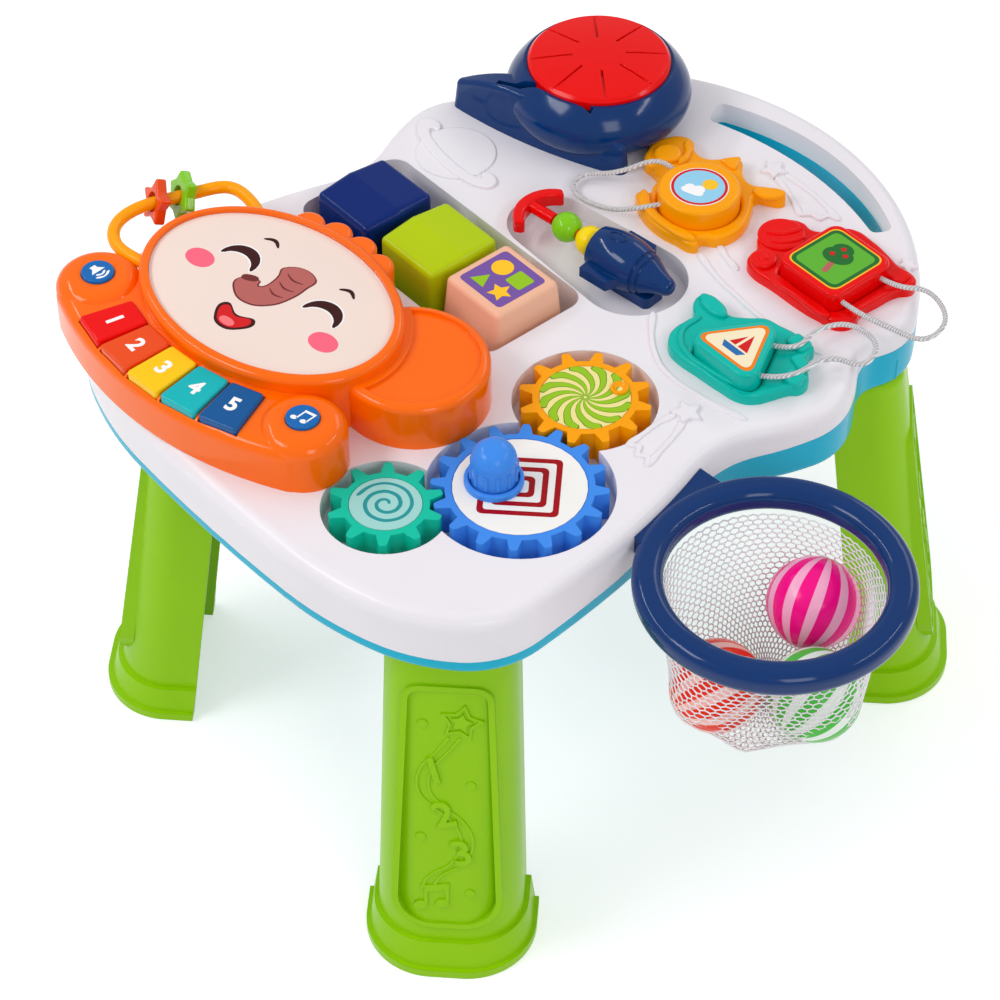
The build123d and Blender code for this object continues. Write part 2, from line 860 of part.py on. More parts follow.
def shape_base(name, seat):
    """A flat shape that lies on the deck, with a seat for its puck."""
    with BuildPart() as shape:
        with BuildSketch(spot(0, 0)):
            Polygon(*outlines[name], align=None)
            offset(amount=-base_round)
            offset(amount=2 * base_round)
            offset(amount=-base_round)
        extrude(amount=base_thick)
        fillet(shape.edges().group_by(Axis.Z)[-1], 1.2)
        with BuildSketch(spot(0, 0, base_thick - puck_seat)):
            add(seat)
            offset(amount=puck_gap)
        extrude(amount=puck_seat + 2, mode=Mode.SUBTRACT)
    return shape.part


def cord(route):
    """A tube along a route with its corners rounded, and the least radius of its corners."""
    points = [Vector(table_x + x, table_y + y, deck_height + z) for x, y, z in route]
    radii = []
    for before, at, after in zip(points, points[1:], points[2:]):
        turn = math.radians((at - before).get_angle(after - at))
        radii.append(0.45 * min((at - before).length, (after - at).length) / math.tan(turn / 2))
    with BuildPart() as tube:
        with BuildLine() as path:
            FilletPolyline(*points, radius=radii)
        with BuildSketch(path.line ^ 0):
            Circle(cord_radius)
        sweep(path=path.wires()[0])
    print("cord radii", [round(radius, 1) for radius in radii])
    return tube.part


def puck(plan, tube):
    """A hollow puck, open side down, with its top edge rounded and holes for its cord's ends."""
    bottom = base_thick - puck_seat
    with BuildPart() as shape:
        with BuildSketch(spot(0, 0, bottom)):
            add(plan)
        extrude(amount=puck_tall)
        fillet(shape.edges().group_by(Axis.Z)[-1], puck_edge)
        with BuildSketch(spot(0, 0, bottom)):
            add(plan)
            offset(amount=-2.5)
        extrude(amount=puck_tall - 2.5, mode=Mode.SUBTRACT)
        add(tube, mode=Mode.SUBTRACT)
    return shape.part


with BuildSketch() as round_puck:
    with Locations(plane_place):
        Circle(plane_puck)

with BuildSketch() as square_puck:
    with Locations(train_place):
        RectangleRounded(*train_puck, train_puck_round)

with BuildSketch() as triangle_puck:
    with Locations(boat_place):
        RegularPolygon(boat_puck, 3, rotation=90)
    fillet(triangle_puck.vertices(), boat_puck_round)

pucks = {"airplane": round_puck, "train": square_puck, "boat": triangle_puck}
for name, plan in pucks.items():
    save(f"{name}_base", shape_base(name, plan.sketch))
    tube = cord(cord_routes[name])
    save(f"{name}_cord", tube)
    save(f"{name}_puck", puck(plan.sketch, tube))

planet_axis = Axis((table_x + planet_place[0], table_y + planet_place[1], deck_height), (0, 0, 1))
brim_middle_point = (
    (brim_front[0][0] + brim_front[2][0]) / 2,
    (brim_front[0][1] + brim_front[2][1]) / 2,
)
dial_floor = planet_height - dial_tall + dial_proud
with BuildSketch() as brim_plan:
    with BuildLine():
        ThreePointArc(*brim_front)
        ThreePointArc(*brim_back)
    make_face()
    fillet(brim_plan.vertices(), brim_tip_round)


def dome_plan(inset):
    """Half section of the planet housing, moved inwards by the inset."""
    with BuildSketch(upright(*planet_place)) as plan:
        with BuildLine():
            side = Spline(
                (planet_foot - inset, 0),
                (planet_waist - inset, planet_waist_height),
                (planet_shoulder - inset, planet_height - inset),
            )
            Polyline(side @ 1, (0, planet_height - inset), (0, 0), side @ 0)
        make_face()
    return plan.sketch


# Planet housing: a hollow dome with a crescent brim, a slot in the brim and a dial well
half = math.dist(brim_front[0], brim_front[2]) / 2
with BuildPart() as brim:
    with BuildSketch(spot(0, 0)):
        add(brim_plan.sketch)
    extrude(amount=brim_middle + 2, taper=brim_taper)
    with BuildSketch(upright(*brim_middle_point, 0, brim_turn).offset(-60)):
        with BuildLine():
            top = ThreePointArc((-half - 10, brim_tip - 3), (0, brim_middle), (half + 10, brim_tip - 3))
            Polyline(top @ 0, (-half - 10, -1), (half + 10, -1), top @ 1)
        make_face()
    extrude(amount=120, mode=Mode.INTERSECT)
    fillet(brim.faces().sort_by(Axis.Z)[-1].edges(), brim_round)

with BuildPart() as cavity:
    add(dome_plan(planet_wall))
    revolve(axis=planet_axis)
    with BuildSketch(spot(*planet_place, dial_floor - planet_wall)):
        Circle(dial_radius + 20)
    extrude(amount=40, mode=Mode.SUBTRACT)

with BuildPart() as planet_housing:
    add(dome_plan(0))
    revolve(axis=planet_axis)
    add(brim.part)
    with BuildSketch(spot(*planet_place, dial_floor)):
        Circle(dial_radius + gap)
    extrude(amount=20, mode=Mode.SUBTRACT)
    with BuildSketch(spot(0, 0, brim_middle - 12)):
        with BuildLine():
            ThreePointArc(*brim_slot)
        trace(line_width=brim_slot_width)
    extrude(amount=30, mode=Mode.SUBTRACT)
    add(cavity.part, mode=Mode.SUBTRACT)
    with BuildSketch(spot(*planet_place, dial_floor - planet_wall)):
        Circle(dial_boss + slip)
    extrude(amount=20, mode=Mode.SUBTRACT)
save("planet_housing", planet_housing.part)

# Red dial that turns in the planet's well, with a domed top and eight grooves
with BuildPart() as planet_dial:
    with BuildSketch(upright(*planet_place, dial_floor + gap)):
        with BuildLine():
            Line((0, 0), (dial_radius, 0))
            Line((dial_radius, 0), (dial_radius, dial_tall - 2))
            Line((dial_radius, dial_tall - 2), (dial_radius - 2, dial_tall))
            ThreePointArc(
                (dial_radius - 2, dial_tall),
                (dial_radius / 2, dial_tall + dial_dome * 0.75),
                (3, dial_tall + dial_dome),
            )
            Line((3, dial_tall + dial_dome), (0, dial_tall + dial_dome))
            Line((0, dial_tall + dial_dome), (0, 0))
        make_face()
    revolve(axis=planet_axis)
    for turn in range(0, 360, 45):
        at = math.radians(turn + 8)
        reach = dial_radius * 0.72
        place = (planet_place[0] + reach * math.cos(at), planet_place[1] + reach * math.sin(at))
        with BuildSketch(spot(*place, dial_floor + dial_tall, turn + 8)):
            Rectangle(dial_radius * 0.7, 1.6)
        extrude(amount=10, mode=Mode.SUBTRACT)
    with BuildSketch(spot(*planet_place, dial_floor - planet_wall - gap)):
        Circle(dial_boss)
    extrude(amount=planet_wall + 2 * gap + 1)
    with BuildSketch(spot(*planet_place, dial_floor - planet_wall - gap)):
        Circle(screw_radius)
    extrude(amount=7, mode=Mode.SUBTRACT)
save("planet_dial", planet_dial.part)
save("dial_screw", screw(planet_place, dial_floor - planet_wall - gap, 7, dial_boss + 2))

hoop_axis = Axis((table_x + hoop_place[0], table_y + hoop_place[1], deck_height), (0, 0, 1))

# Hoop with a bracket and two pins that go into the table's side
with BuildSketch(upright(*hoop_place, hoop_top - hoop_tall / 2)) as hoop_section:
    with Locations((hoop_outer - hoop_band / 2, 0)):
        Rectangle(hoop_band, hoop_tall)
    fillet(hoop_section.vertices().group_by(Axis.Z)[-1], hoop_round)
    fillet(hoop_section.vertices().group_by(Axis.Z)[0], hoop_low_round)

with BuildPart() as hoop_ring:
    with BuildSketch(spot(178, -48, hoop_top - hoop_tall + 1.5)):
        Polygon((-16, -32), (12, -34), (40, -26), (40, 26), (12, 34), (-16, 32), align=None)
    extrude(amount=hoop_tall - 4)
    with BuildSketch(spot(*hoop_place, hoop_top - hoop_tall)):
        Circle(hoop_outer - hoop_band / 2)
    extrude(amount=hoop_tall, mode=Mode.SUBTRACT)
    add(hoop_section.sketch)
    revolve(axis=hoop_axis)
    with BuildSketch(spot(0, 0, hoop_top - hoop_tall - 1)):
        add(table_plan.sketch)
    extrude(amount=hoop_tall + 2, mode=Mode.SUBTRACT)
    for y in hoop_pin_places:
        with BuildSketch(upright(hoop_pin_x + 1, y, hoop_top - hoop_tall / 2, 90)):
            Circle(hoop_pin)
        extrude(amount=20)
save("hoop_ring", hoop_ring.part)

# Net bag under the hoop
with BuildPart() as net_bag:
    with BuildSketch(spot(*hoop_place, hoop_top - net_depth)):
        Circle(net_radius)
    extrude(amount=net_depth - hoop_tall)
    fillet(net_bag.edges().group_by(Axis.Z)[0], net_corner)
    offset(amount=-net_wall, openings=net_bag.faces().sort_by(Axis.Z)[-1])
save("net_bag", net_bag.part)

# Hollow balls in the net
for name, (turn, height) in balls.items():
    at = math.radians(turn)
    x = hoop_place[0] + ball_ring * math.cos(at)
    y = hoop_place[1] + ball_ring * math.sin(at)
    with BuildPart() as ball:
        with Locations((table_x + x, table_y + y, deck_height + height)):
            Sphere(ball_radius)
            Sphere(ball_radius - ball_wall, mode=Mode.SUBTRACT)
    save(name, ball.part)


def block_half(name, size, direction):
    """Half a block that narrows away from its parting plane."""
    x, y = block_places[name]
    middle = block_size / 2 - bin_depth
    if name == "peach_block":
        plane = spot(x, y, middle)
    else:
        plane = upright(x, y, middle)
    with BuildPart() as shape:
        with BuildSketch(plane):
            RectangleRounded(size, size, block_round)
        extrude(
            amount=direction * size / 2, taper=math.degrees(math.atan2(2 * block_draft, size))
        )
        end = shape.faces().sort_by(Axis(plane.origin, plane.z_dir * direction))[-1]
        fillet(end.edges(), block_end_round)
    return shape.part


# Hollow blocks in the bin, each of two halves welded at the parting line
for name in block_places:
    with BuildPart() as block:
        for direction in (1, -1):
            add(block_half(name, block_size, direction))
        for direction in (1, -1):
            add(block_half(name, block_size - 2 * block_wall, direction), mode=Mode.SUBTRACT)
    save(name, block.part)


def panel_levels(inset):
    """Plans of the hand piano's levels, moved inwards, with their heights and top roundings."""
    with BuildSketch() as body:
        with BuildLine():
            low = ThreePointArc((-106 + inset, -80 + inset), (0, -105 + inset), (106 - inset, -80 + inset))
            high = ThreePointArc((-112 + inset, -46), (0, -20), (112 - inset, -46))
            Line(low @ 0, high @ 0)
            Line(low @ 1, high @ 1)
        make_face()
        fillet(body.vertices(), lobe_radius / 2)
    with BuildSketch() as drum:
        Ellipse(face_x + face_rim - inset, face_y + face_rim - inset)
    with BuildSketch() as ear:
        with Locations(ear_place):
            Ellipse(ear_x - inset, ear_y - inset)
    with BuildSketch() as lobes:
        with Locations((lobe_place[0], lobe_place[1]), (-lobe_place[0], lobe_place[1])):
            Circle(lobe_radius - inset)
    with BuildSketch() as ruff:
        with Locations(*ruff_places):
            Circle(ruff_radius - inset)
    return (
        (body.sketch, panel_body, panel_body_round),
        (drum.sketch, panel_drum, panel_drum_round),
        (ear.sketch, ear_tall, ear_round),
        (lobes.sketch, lobe_rise, lobe_round),
        (ruff.sketch, ruff_tall, ruff_round),
    )


def rounded_level(plan, bottom, top, rounding):
    """One level of the hand piano with its top edge rounded."""
    with BuildPart() as shape:
        with BuildSketch(panel_spot(0, 0, bottom)):
            add(plan)
        extrude(amount=top - bottom)
        fillet(shape.edges().group_by(Axis.Z)[-1], rounding)
    return shape.part


key_turns = [math.degrees(key_pitch / key_arc) * step for step in (-2, -1, 0, 1, 2)]
key_places = [
    (key_arc * math.sin(math.radians(turn)), key_centre - key_arc * math.cos(math.radians(turn)))
    for turn in key_turns
]
button_places = {
    "left_button": (-lobe_place[0], lobe_place[1]),
    "right_button": (lobe_place[0], lobe_place[1]),
}



def key_plan(extra):
    """A key that widens away from the piano's middle, grown by the extra on every side."""
    with BuildSketch() as plan:
        Polygon(
            (-key_width / 2 - key_taper / 2 - extra, -key_length / 2 - extra),
            (key_width / 2 + key_taper / 2 + extra, -key_length / 2 - extra),
            (key_width / 2 - key_taper / 2 + extra, key_length / 2 + extra),
            (-key_width / 2 + key_taper / 2 - extra, key_length / 2 + extra),
            align=None,
        )
    return plan.sketch


# Wire ring at the piano's left side, its ends inside the drum
with BuildPart() as ring_handle:
    with BuildLine(panel_spot(0, 0, ring_height)) as ring_path:
        Spline(*ring_points)
    with BuildSketch(ring_path.line ^ 0):
        Circle(ring_tube)
    sweep(path=ring_path.wires()[0])
save("ring_handle", ring_handle.part)

# Top shell of the hand piano
with BuildPart() as panel_top:
    for plan, height, rounding in panel_levels(0):
        add(rounded_level(plan, 0, height, rounding))
    for plan, height, rounding in panel_levels(panel_wall):
        ceiling = min(height, ear_tall - ear_dish) if height == ear_tall else height
        add(
            rounded_level(plan, -1, ceiling - panel_wall, rounding - panel_wall),
            mode=Mode.SUBTRACT,
        )
    with BuildSketch(panel_spot(0, 0, panel_drum - 2 * face_thick - panel_wall)):
        Ellipse(face_x + face_rim - 1, face_y + face_rim - 1)
    extrude(amount=panel_wall)
    with BuildSketch(panel_spot(0, 0, panel_drum - 2 * face_thick)):
        Ellipse(face_x, face_y)
    extrude(amount=20, mode=Mode.SUBTRACT)
    with BuildSketch(panel_spot(0, 0, ear_tall - ear_dish)):
        with Locations(ear_place):
            Ellipse(ear_x - ear_rim, ear_y - ear_rim)
        Ellipse(face_x + face_rim + 5, face_y + face_rim + 5, mode=Mode.SUBTRACT)
    extrude(amount=20, mode=Mode.SUBTRACT)
    for place, turn in zip(key_places, key_turns):
        with BuildSketch(panel_spot(*place, key_top - key_tall, turn)):
            add(key_plan(gap))
        extrude(amount=20, mode=Mode.SUBTRACT)
    for place in button_places.values():
        with BuildSketch(panel_spot(*place, 10)):
            Circle(button_radius + gap)
        extrude(amount=40, mode=Mode.SUBTRACT)
    for place, height in panel_screw_places.items():
        with BuildSketch(panel_spot(*place, panel_back_thick)):
            Circle(boss_radius)
            Circle(screw_radius + slip / 2, mode=Mode.SUBTRACT)
        extrude(amount=height - panel_back_thick)
    add(ring_handle.part, mode=Mode.SUBTRACT)
save("panel_top", panel_top.part)


# Cream face plate in the drum
with BuildPart() as face_plate:
    with BuildSketch(panel_spot(0, 0, panel_drum - 2 * face_thick)):
        Ellipse(face_x - slip, face_y - slip)
    extrude(amount=face_thick)
save("face_plate", face_plate.part)

# Keys and buttons, each with a wider foot that stops it under the shell
for number, (place, turn) in enumerate(zip(key_places, key_turns), 1):
    with BuildPart() as key:
        with BuildSketch(panel_spot(*place, key_top - key_tall, turn)):
            add(key_plan(0))
        extrude(amount=key_tall)
        fillet(key.edges().filter_by(Axis.Z), 2.5)
        fillet(key.edges().group_by(Axis.Z)[-1], 1.5)
    save(f"key_{number}", key.part)

for name, place in button_places.items():
    with BuildPart() as button:
        with BuildSketch(panel_spot(*place, lobe_rise - 12)):
            Circle(button_radius)
        extrude(amount=12 + button_proud)
        fillet(button.edges().group_by(Axis.Z)[-1], 1)
    save(name, button.part)

# Back of the hand piano, with its battery bay, board posts and screw holes
with BuildPart() as panel_back:
    for plan, height, rounding in panel_levels(panel_wall + gap)[:4]:
        with BuildSketch(panel_spot(0, 0)):
            add(plan)
        extrude(amount=panel_back_thick)
    for place in board_posts:
        with BuildSketch(panel_spot(*place, panel_back_thick)):
            Circle(3)
        extrude(amount=board_height - panel_back_thick)
    with BuildSketch(panel_spot(*battery_place, panel_back_thick)):
        Rectangle(battery_bay[0] + 4, battery_bay[1] + 4)
        Rectangle(battery_bay[0], battery_bay[1], mode=Mode.SUBTRACT)
    extrude(amount=battery_radius * 2)
    with BuildSketch(panel_spot(*battery_place, 0)):
        Rectangle(battery_bay[0] - 4, battery_bay[1] - 4)
    extrude(amount=panel_back_thick, mode=Mode.SUBTRACT)
    with BuildSketch(panel_spot(*battery_place, 0)):
        Rectangle(battery_bay[0], battery_bay[1])
    extrude(amount=panel_back_thick - 1, mode=Mode.SUBTRACT)
    for place in panel_screw_places:
        with BuildSketch(panel_spot(*place, 0)):
            Circle(screw_radius + slip / 2)
        extrude(amount=panel_back_thick, mode=Mode.SUBTRACT)
        with BuildSketch(panel_spot(*place, 0)):
            Circle(screw_head + gap)
        extrude(amount=screw_head_tall, mode=Mode.SUBTRACT)
save("panel_back", panel_back.part)

# Circuit board on its posts, speaker under the face, batteries in their bay
with BuildPart() as circuit_board:
    with BuildSketch(panel_spot(0, -20, board_height)):
        Rectangle(92, 40)
    extrude(amount=1.6)
save("circuit_board", circuit_board.part)

with BuildPart() as speaker:
    with BuildSketch(panel_spot(*speaker_place, panel_drum - 2 * face_thick - panel_wall)):
        Circle(18)
    extrude(amount=-4)
    with BuildSketch(panel_spot(*speaker_place, panel_drum - 2 * face_thick - panel_wall - 4)):
        Circle(10)
    extrude(amount=-7)
save("speaker", speaker.part)

cells = []
for y in (-battery_radius - gap / 2, battery_radius + gap / 2):
    with BuildPart() as cell:
        start = battery_place[0] - battery_length / 2
        height = panel_back_thick + battery_radius
        with BuildSketch(panel_spot(start, battery_place[1] + y, height) * Plane.YZ):
            Circle(battery_radius - slip)
        extrude(amount=battery_length)
    cells.append(cell.part)
group("batteries", cells)

with BuildPart() as battery_door:
    with BuildSketch(panel_spot(*battery_place, 0)):
        Rectangle(battery_bay[0] - 2 * gap, battery_bay[1] - 2 * gap)
    extrude(amount=panel_back_thick - 1)
    with BuildSketch(panel_spot(*battery_place, 0)):
        Rectangle(battery_bay[0] - 4 - 2 * gap, battery_bay[1] - 4 - 2 * gap)
    extrude(amount=panel_back_thick)
save("battery_door", battery_door.part)

group(
    "panel_screws",
    [
        screw(panel_table_place(place), screw_head_tall, panel_screw_length)
        for place in panel_screw_places
    ],
)

# Loose beads on the ring handle, leaning back: a star and a flower
for name, (share, points, inner) in ring_beads.items():
    level_axis = Vector(*(ring_path.line % share)).cross(Vector(0, 0, 1))
    facing = (ring_path.line % share).rotate(Axis((0, 0, 0), level_axis), bead_lean)
    middle = Plane(ring_path.line @ share, x_dir=level_axis, z_dir=facing)
    with BuildPart() as bead:
        with BuildSketch(middle.offset(-bead_thick / 2)):
            corners = []
            for step in range(2 * points):
                at = math.pi * step / points
                reach = bead_reach if step % 2 == 0 else bead_reach * inner
                corners.append((reach * math.cos(at), reach * math.sin(at)))
            Polygon(*corners, align=None)
        extrude(amount=bead_thick)
        sides = bead.edges().filter_by(Axis(middle.origin, middle.z_dir))
        fillet(sides, bead_edge)
        along = Axis(middle.origin, middle.z_dir)
        fillet(bead.faces().sort_by(along)[-1].edges(), bead_edge)
        fillet(bead.faces().sort_by(along)[0].edges(), bead_edge)
        with BuildSketch(middle.offset(-bead_thick)):
            Circle(ring_bead_bore)
        extrude(amount=2 * bead_thick, mode=Mode.SUBTRACT)
    save(name, bead.part)
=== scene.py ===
"""Looks of the activity table: finishes, printed labels, net, laces, moulded reliefs, floor and light."""

import json
import math

import bpy
from mathutils import Matrix, Vector


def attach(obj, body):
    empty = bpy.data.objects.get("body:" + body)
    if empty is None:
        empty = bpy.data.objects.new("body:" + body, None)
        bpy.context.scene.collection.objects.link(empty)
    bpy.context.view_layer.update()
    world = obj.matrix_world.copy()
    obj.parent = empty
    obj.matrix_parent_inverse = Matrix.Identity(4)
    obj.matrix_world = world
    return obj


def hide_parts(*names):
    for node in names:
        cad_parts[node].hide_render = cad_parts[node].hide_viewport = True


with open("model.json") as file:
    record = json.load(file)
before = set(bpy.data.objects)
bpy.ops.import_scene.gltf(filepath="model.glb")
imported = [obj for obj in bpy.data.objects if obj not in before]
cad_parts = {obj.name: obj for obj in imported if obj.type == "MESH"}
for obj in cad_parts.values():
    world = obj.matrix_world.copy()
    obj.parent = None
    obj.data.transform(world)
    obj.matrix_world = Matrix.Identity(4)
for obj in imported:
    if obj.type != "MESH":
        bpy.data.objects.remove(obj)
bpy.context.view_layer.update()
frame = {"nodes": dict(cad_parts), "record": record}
node = frame["nodes"]

# Places are in millimetres on the table, as in the part's source; the scene is in metres
mm = 0.001
table_x = -68.4424
table_y = -6.0
deck_height = 315
panel_place = (-72, -140)
panel_turn = 4.9
crank_place = (120.8, -110.6)
pinwheel_place = (89.3, -32.7)
spiral_place = (81.8, -178.1)
gear_top = 2.5
plane_place = (6, 136)
train_place = (110, 152)
boat_place = (128, 54)
puck_top = 20
block_place = (-10, -12)
block_top = 17
hoop_place = (261, -42)
hoop_low = -21
net_top_radius = 64
ball_radius = 27.5
ball_ring = 37.9
# Each ball's turn about the hoop in degrees, and its centre's height
ball_places = {"red_ball": (-95, -74.8), "green_ball": (0, -74.8), "pink_ball": (95, -58)}


def spot(x, y, z=0):
    """A point on the table, z above the deck."""
    return Vector((table_x + x, table_y + y, deck_height + z)) * mm


def turned(turn):
    """A turn about the upright axis, in degrees."""
    return Matrix.Rotation(math.radians(turn), 4, "Z")


def lying(x, y, z=0, turn=0):
    """A level place on the table for a flat shape drawn in millimetres."""
    return Matrix.Translation(spot(x, y, z)) @ turned(turn) @ Matrix.Scale(mm, 4)


def on_panel(x, y, z=0, turn=0):
    """A level place on the hand piano."""
    place = Matrix.Rotation(math.radians(panel_turn), 2) @ Vector((x, y))
    return lying(panel_place[0] + place.x, panel_place[1] + place.y, z, panel_turn + turn)


def polar(reach, turn, x=0, y=0):
    """The point at a reach and a turn in degrees from a centre."""
    at = math.radians(turn)
    return x + reach * math.cos(at), y + reach * math.sin(at)


def ball_centre(name):
    """A ball's centre on the table."""
    turn, height = ball_places[name]
    return (*polar(ball_ring, turn, *hoop_place), height)


def deselect():
    bpy.ops.object.select_all(action="DESELECT")


def only(obj):
    deselect()
    obj.select_set(True)
    bpy.context.view_layer.objects.active = obj


def smooth_lit(obj, angle):
    only(obj)
    bpy.ops.object.shade_smooth_by_angle(angle=math.radians(angle))


deselect()

# Camera at the photograph's angle
camera_distance = 1.8286
target = spot(120, -125)
back = Vector((0.5377, -0.4592, 0.7071)).normalized()
bpy.ops.object.camera_add(
    location=target + back * camera_distance, rotation=back.to_track_quat("Z", "Y").to_euler()
)
camera = bpy.context.object
camera.name = "camera"
camera.data.lens = 115.2
camera.data.sensor_width = 36
bpy.context.scene.camera = camera

# Cord routes, the same points as in the part's source
cord_routes = {
    "airplane": [
        (-13.7, 139.7, 12), (-33.3, 143.4, 18), (-46, 113, 10), (-66, 102, 5), (-60, 85.8, 3),
        (-38, 87.5, 3), (-14, 94, 10), (-2.5, 117.9, 12),
    ],
    "train": [
        (131, 167, 12), (147, 167, 13), (158, 187, 8), (184, 178, 5), (188, 152, 4),
        (164, 144, 6), (148, 134, 12), (131, 134, 12),
    ],
    "boat": [
        (133, 73.3, 12), (148.6, 82.3, 12), (140, 105, 10), (150, 125, 12), (174, 128, 9),
        (181, 108, 5), (160, 97, 9), (164.4, 59, 13), (147, 49, 12),
    ],
}
cord_radius = 1.6

laces = []
for name, route in cord_routes.items():
    data = bpy.data.curves.new(f"{name}_lace", "CURVE")
    data.dimensions = "3D"
    line = data.splines.new("NURBS")
    line.points.add(len(route) - 1)
    for point, place in zip(line.points, route):
        point.co = (*spot(*place), 1)
    line.order_u = 3
    line.use_endpoint_u = True
    line.resolution_u = 16
    lace = bpy.data.objects.new(f"{name}_lace", data)
    bpy.context.scene.collection.objects.link(lace)
    bpy.context.view_layer.update()
    # The thin curve's own points are the lace's middle line
    middle_line = bpy.data.meshes.new_from_object(lace)
    path = [vertex.co.copy() for vertex in middle_line.vertices]
    data.bevel_depth = cord_radius * mm
    data.bevel_resolution = 4
    data.use_fill_caps = True
    only(lace)
    bpy.ops.object.convert(target="MESH")
    lace = bpy.context.object
    lace.name = f"{name}_lace"
    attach(lace, name)
    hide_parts(f"{name}_cord")
    laces.append(lace)


# Finishes
def colour(red, green, blue):
    """A screen colour from 0 to 255 as the linear colour that a shader takes."""
    linear = []
    for part in (red, green, blue):
        part /= 255
        linear.append(part / 12.92 if part <= 0.04045 else ((part + 0.055) / 1.055) ** 2.4)
    return (*linear, 1)


def shader_node(tree, kind, values=None):
    """A shader node with values on its inputs, by their names or numbers."""
    made = tree.nodes.new(f"ShaderNode{kind}")
    for name, value in (values or {}).items():
        made.inputs[name].default_value = value
    return made


def math_node(tree, operation, values=None):
    made = shader_node(tree, "Math", values)
    made.operation = operation
    return made


def colour_mix(tree, factor, first, second):
    """A colour that goes from the first to the second as the factor goes from 0 to 1."""
    mix = shader_node(tree, "Mix")
    mix.data_type = "RGBA"
    mix.inputs["A"].default_value = first
    mix.inputs["B"].default_value = second
    tree.links.new(factor, mix.inputs["Factor"])
    return mix.outputs["Result"]


def moulded_group():
    """Moulded plastic: softened edges, a faint orange-peel skin and uneven gloss."""
    tree = bpy.data.node_groups.new("moulded_plastic", "ShaderNodeTree")
    for name, kind, value in (
        ("Colour", "Color", (0.8, 0.8, 0.8, 1)), ("Roughness", "Float", 0.25), ("Skin", "Float", 0.03),
        ("Grain", "Float", 900), ("Edge", "Float", 0.0006),
    ):
        made = tree.interface.new_socket(name, in_out="INPUT", socket_type=f"NodeSocket{kind}")
        made.default_value = value
    for name, kind in (("Colour", "Color"), ("Roughness", "Float"), ("Normal", "Vector")):
        tree.interface.new_socket(name, in_out="OUTPUT", socket_type=f"NodeSocket{kind}")
    link = tree.links.new
    values = tree.nodes.new("NodeGroupInput")
    out = tree.nodes.new("NodeGroupOutput")
    place = shader_node(tree, "TexCoord")
    broad = shader_node(tree, "TexNoise", {"Scale": 14, "Detail": 3})
    link(place.outputs["Object"], broad.inputs["Vector"])
    fine = shader_node(tree, "TexNoise", {"Detail": 2})
    link(place.outputs["Object"], fine.inputs["Vector"])
    link(values.outputs["Grain"], fine.inputs["Scale"])
    tone = shader_node(tree, "MapRange", {"To Min": 0.95, "To Max": 1.04})
    link(broad.outputs["Fac"], tone.inputs["Value"])
    shade = shader_node(tree, "HueSaturation")
    link(values.outputs["Colour"], shade.inputs["Color"])
    link(tone.outputs["Result"], shade.inputs["Value"])
    gloss = math_node(tree, "MULTIPLY_ADD", {1: 0.12})
    link(broad.outputs["Fac"], gloss.inputs[0])
    link(values.outputs["Roughness"], gloss.inputs[2])
    edge = shader_node(tree, "Bevel")
    edge.samples = 4
    link(values.outputs["Edge"], edge.inputs["Radius"])
    skin = shader_node(tree, "Bump", {"Distance": 0.0004})
    link(values.outputs["Skin"], skin.inputs["Strength"])
    link(fine.outputs["Fac"], skin.inputs["Height"])
    link(edge.outputs["Normal"], skin.inputs["Normal"])
    link(shade.outputs["Color"], out.inputs["Colour"])
    link(gloss.outputs["Value"], out.inputs["Roughness"])
    link(skin.outputs["Normal"], out.inputs["Normal"])
    return tree


moulded = moulded_group()


def finish(name, tint, roughness=0.12, skin=0.03, shine=0.2, edge=0.0006, metal=0.0, pattern=None):
    """A moulded or printed finish; a pattern builds the colour in place of the plain tint."""
    material = bpy.data.materials.new(name)
    material.use_nodes = True
    tree = material.node_tree
    shader = tree.nodes["Principled BSDF"]
    plastic = shader_node(tree, "Group")
    plastic.node_tree = moulded
    for socket, value in (("Colour", tint), ("Roughness", roughness), ("Skin", skin), ("Edge", edge)):
        plastic.inputs[socket].default_value = value
    if pattern:
        tree.links.new(pattern(tree), plastic.inputs["Colour"])
    for made, taken in (("Colour", "Base Color"), ("Roughness", "Roughness"), ("Normal", "Normal")):
        tree.links.new(plastic.outputs[made], shader.inputs[taken])
    shader.inputs["Metallic"].default_value = metal
    shader.inputs["Specular IOR Level"].default_value = shine
    return material


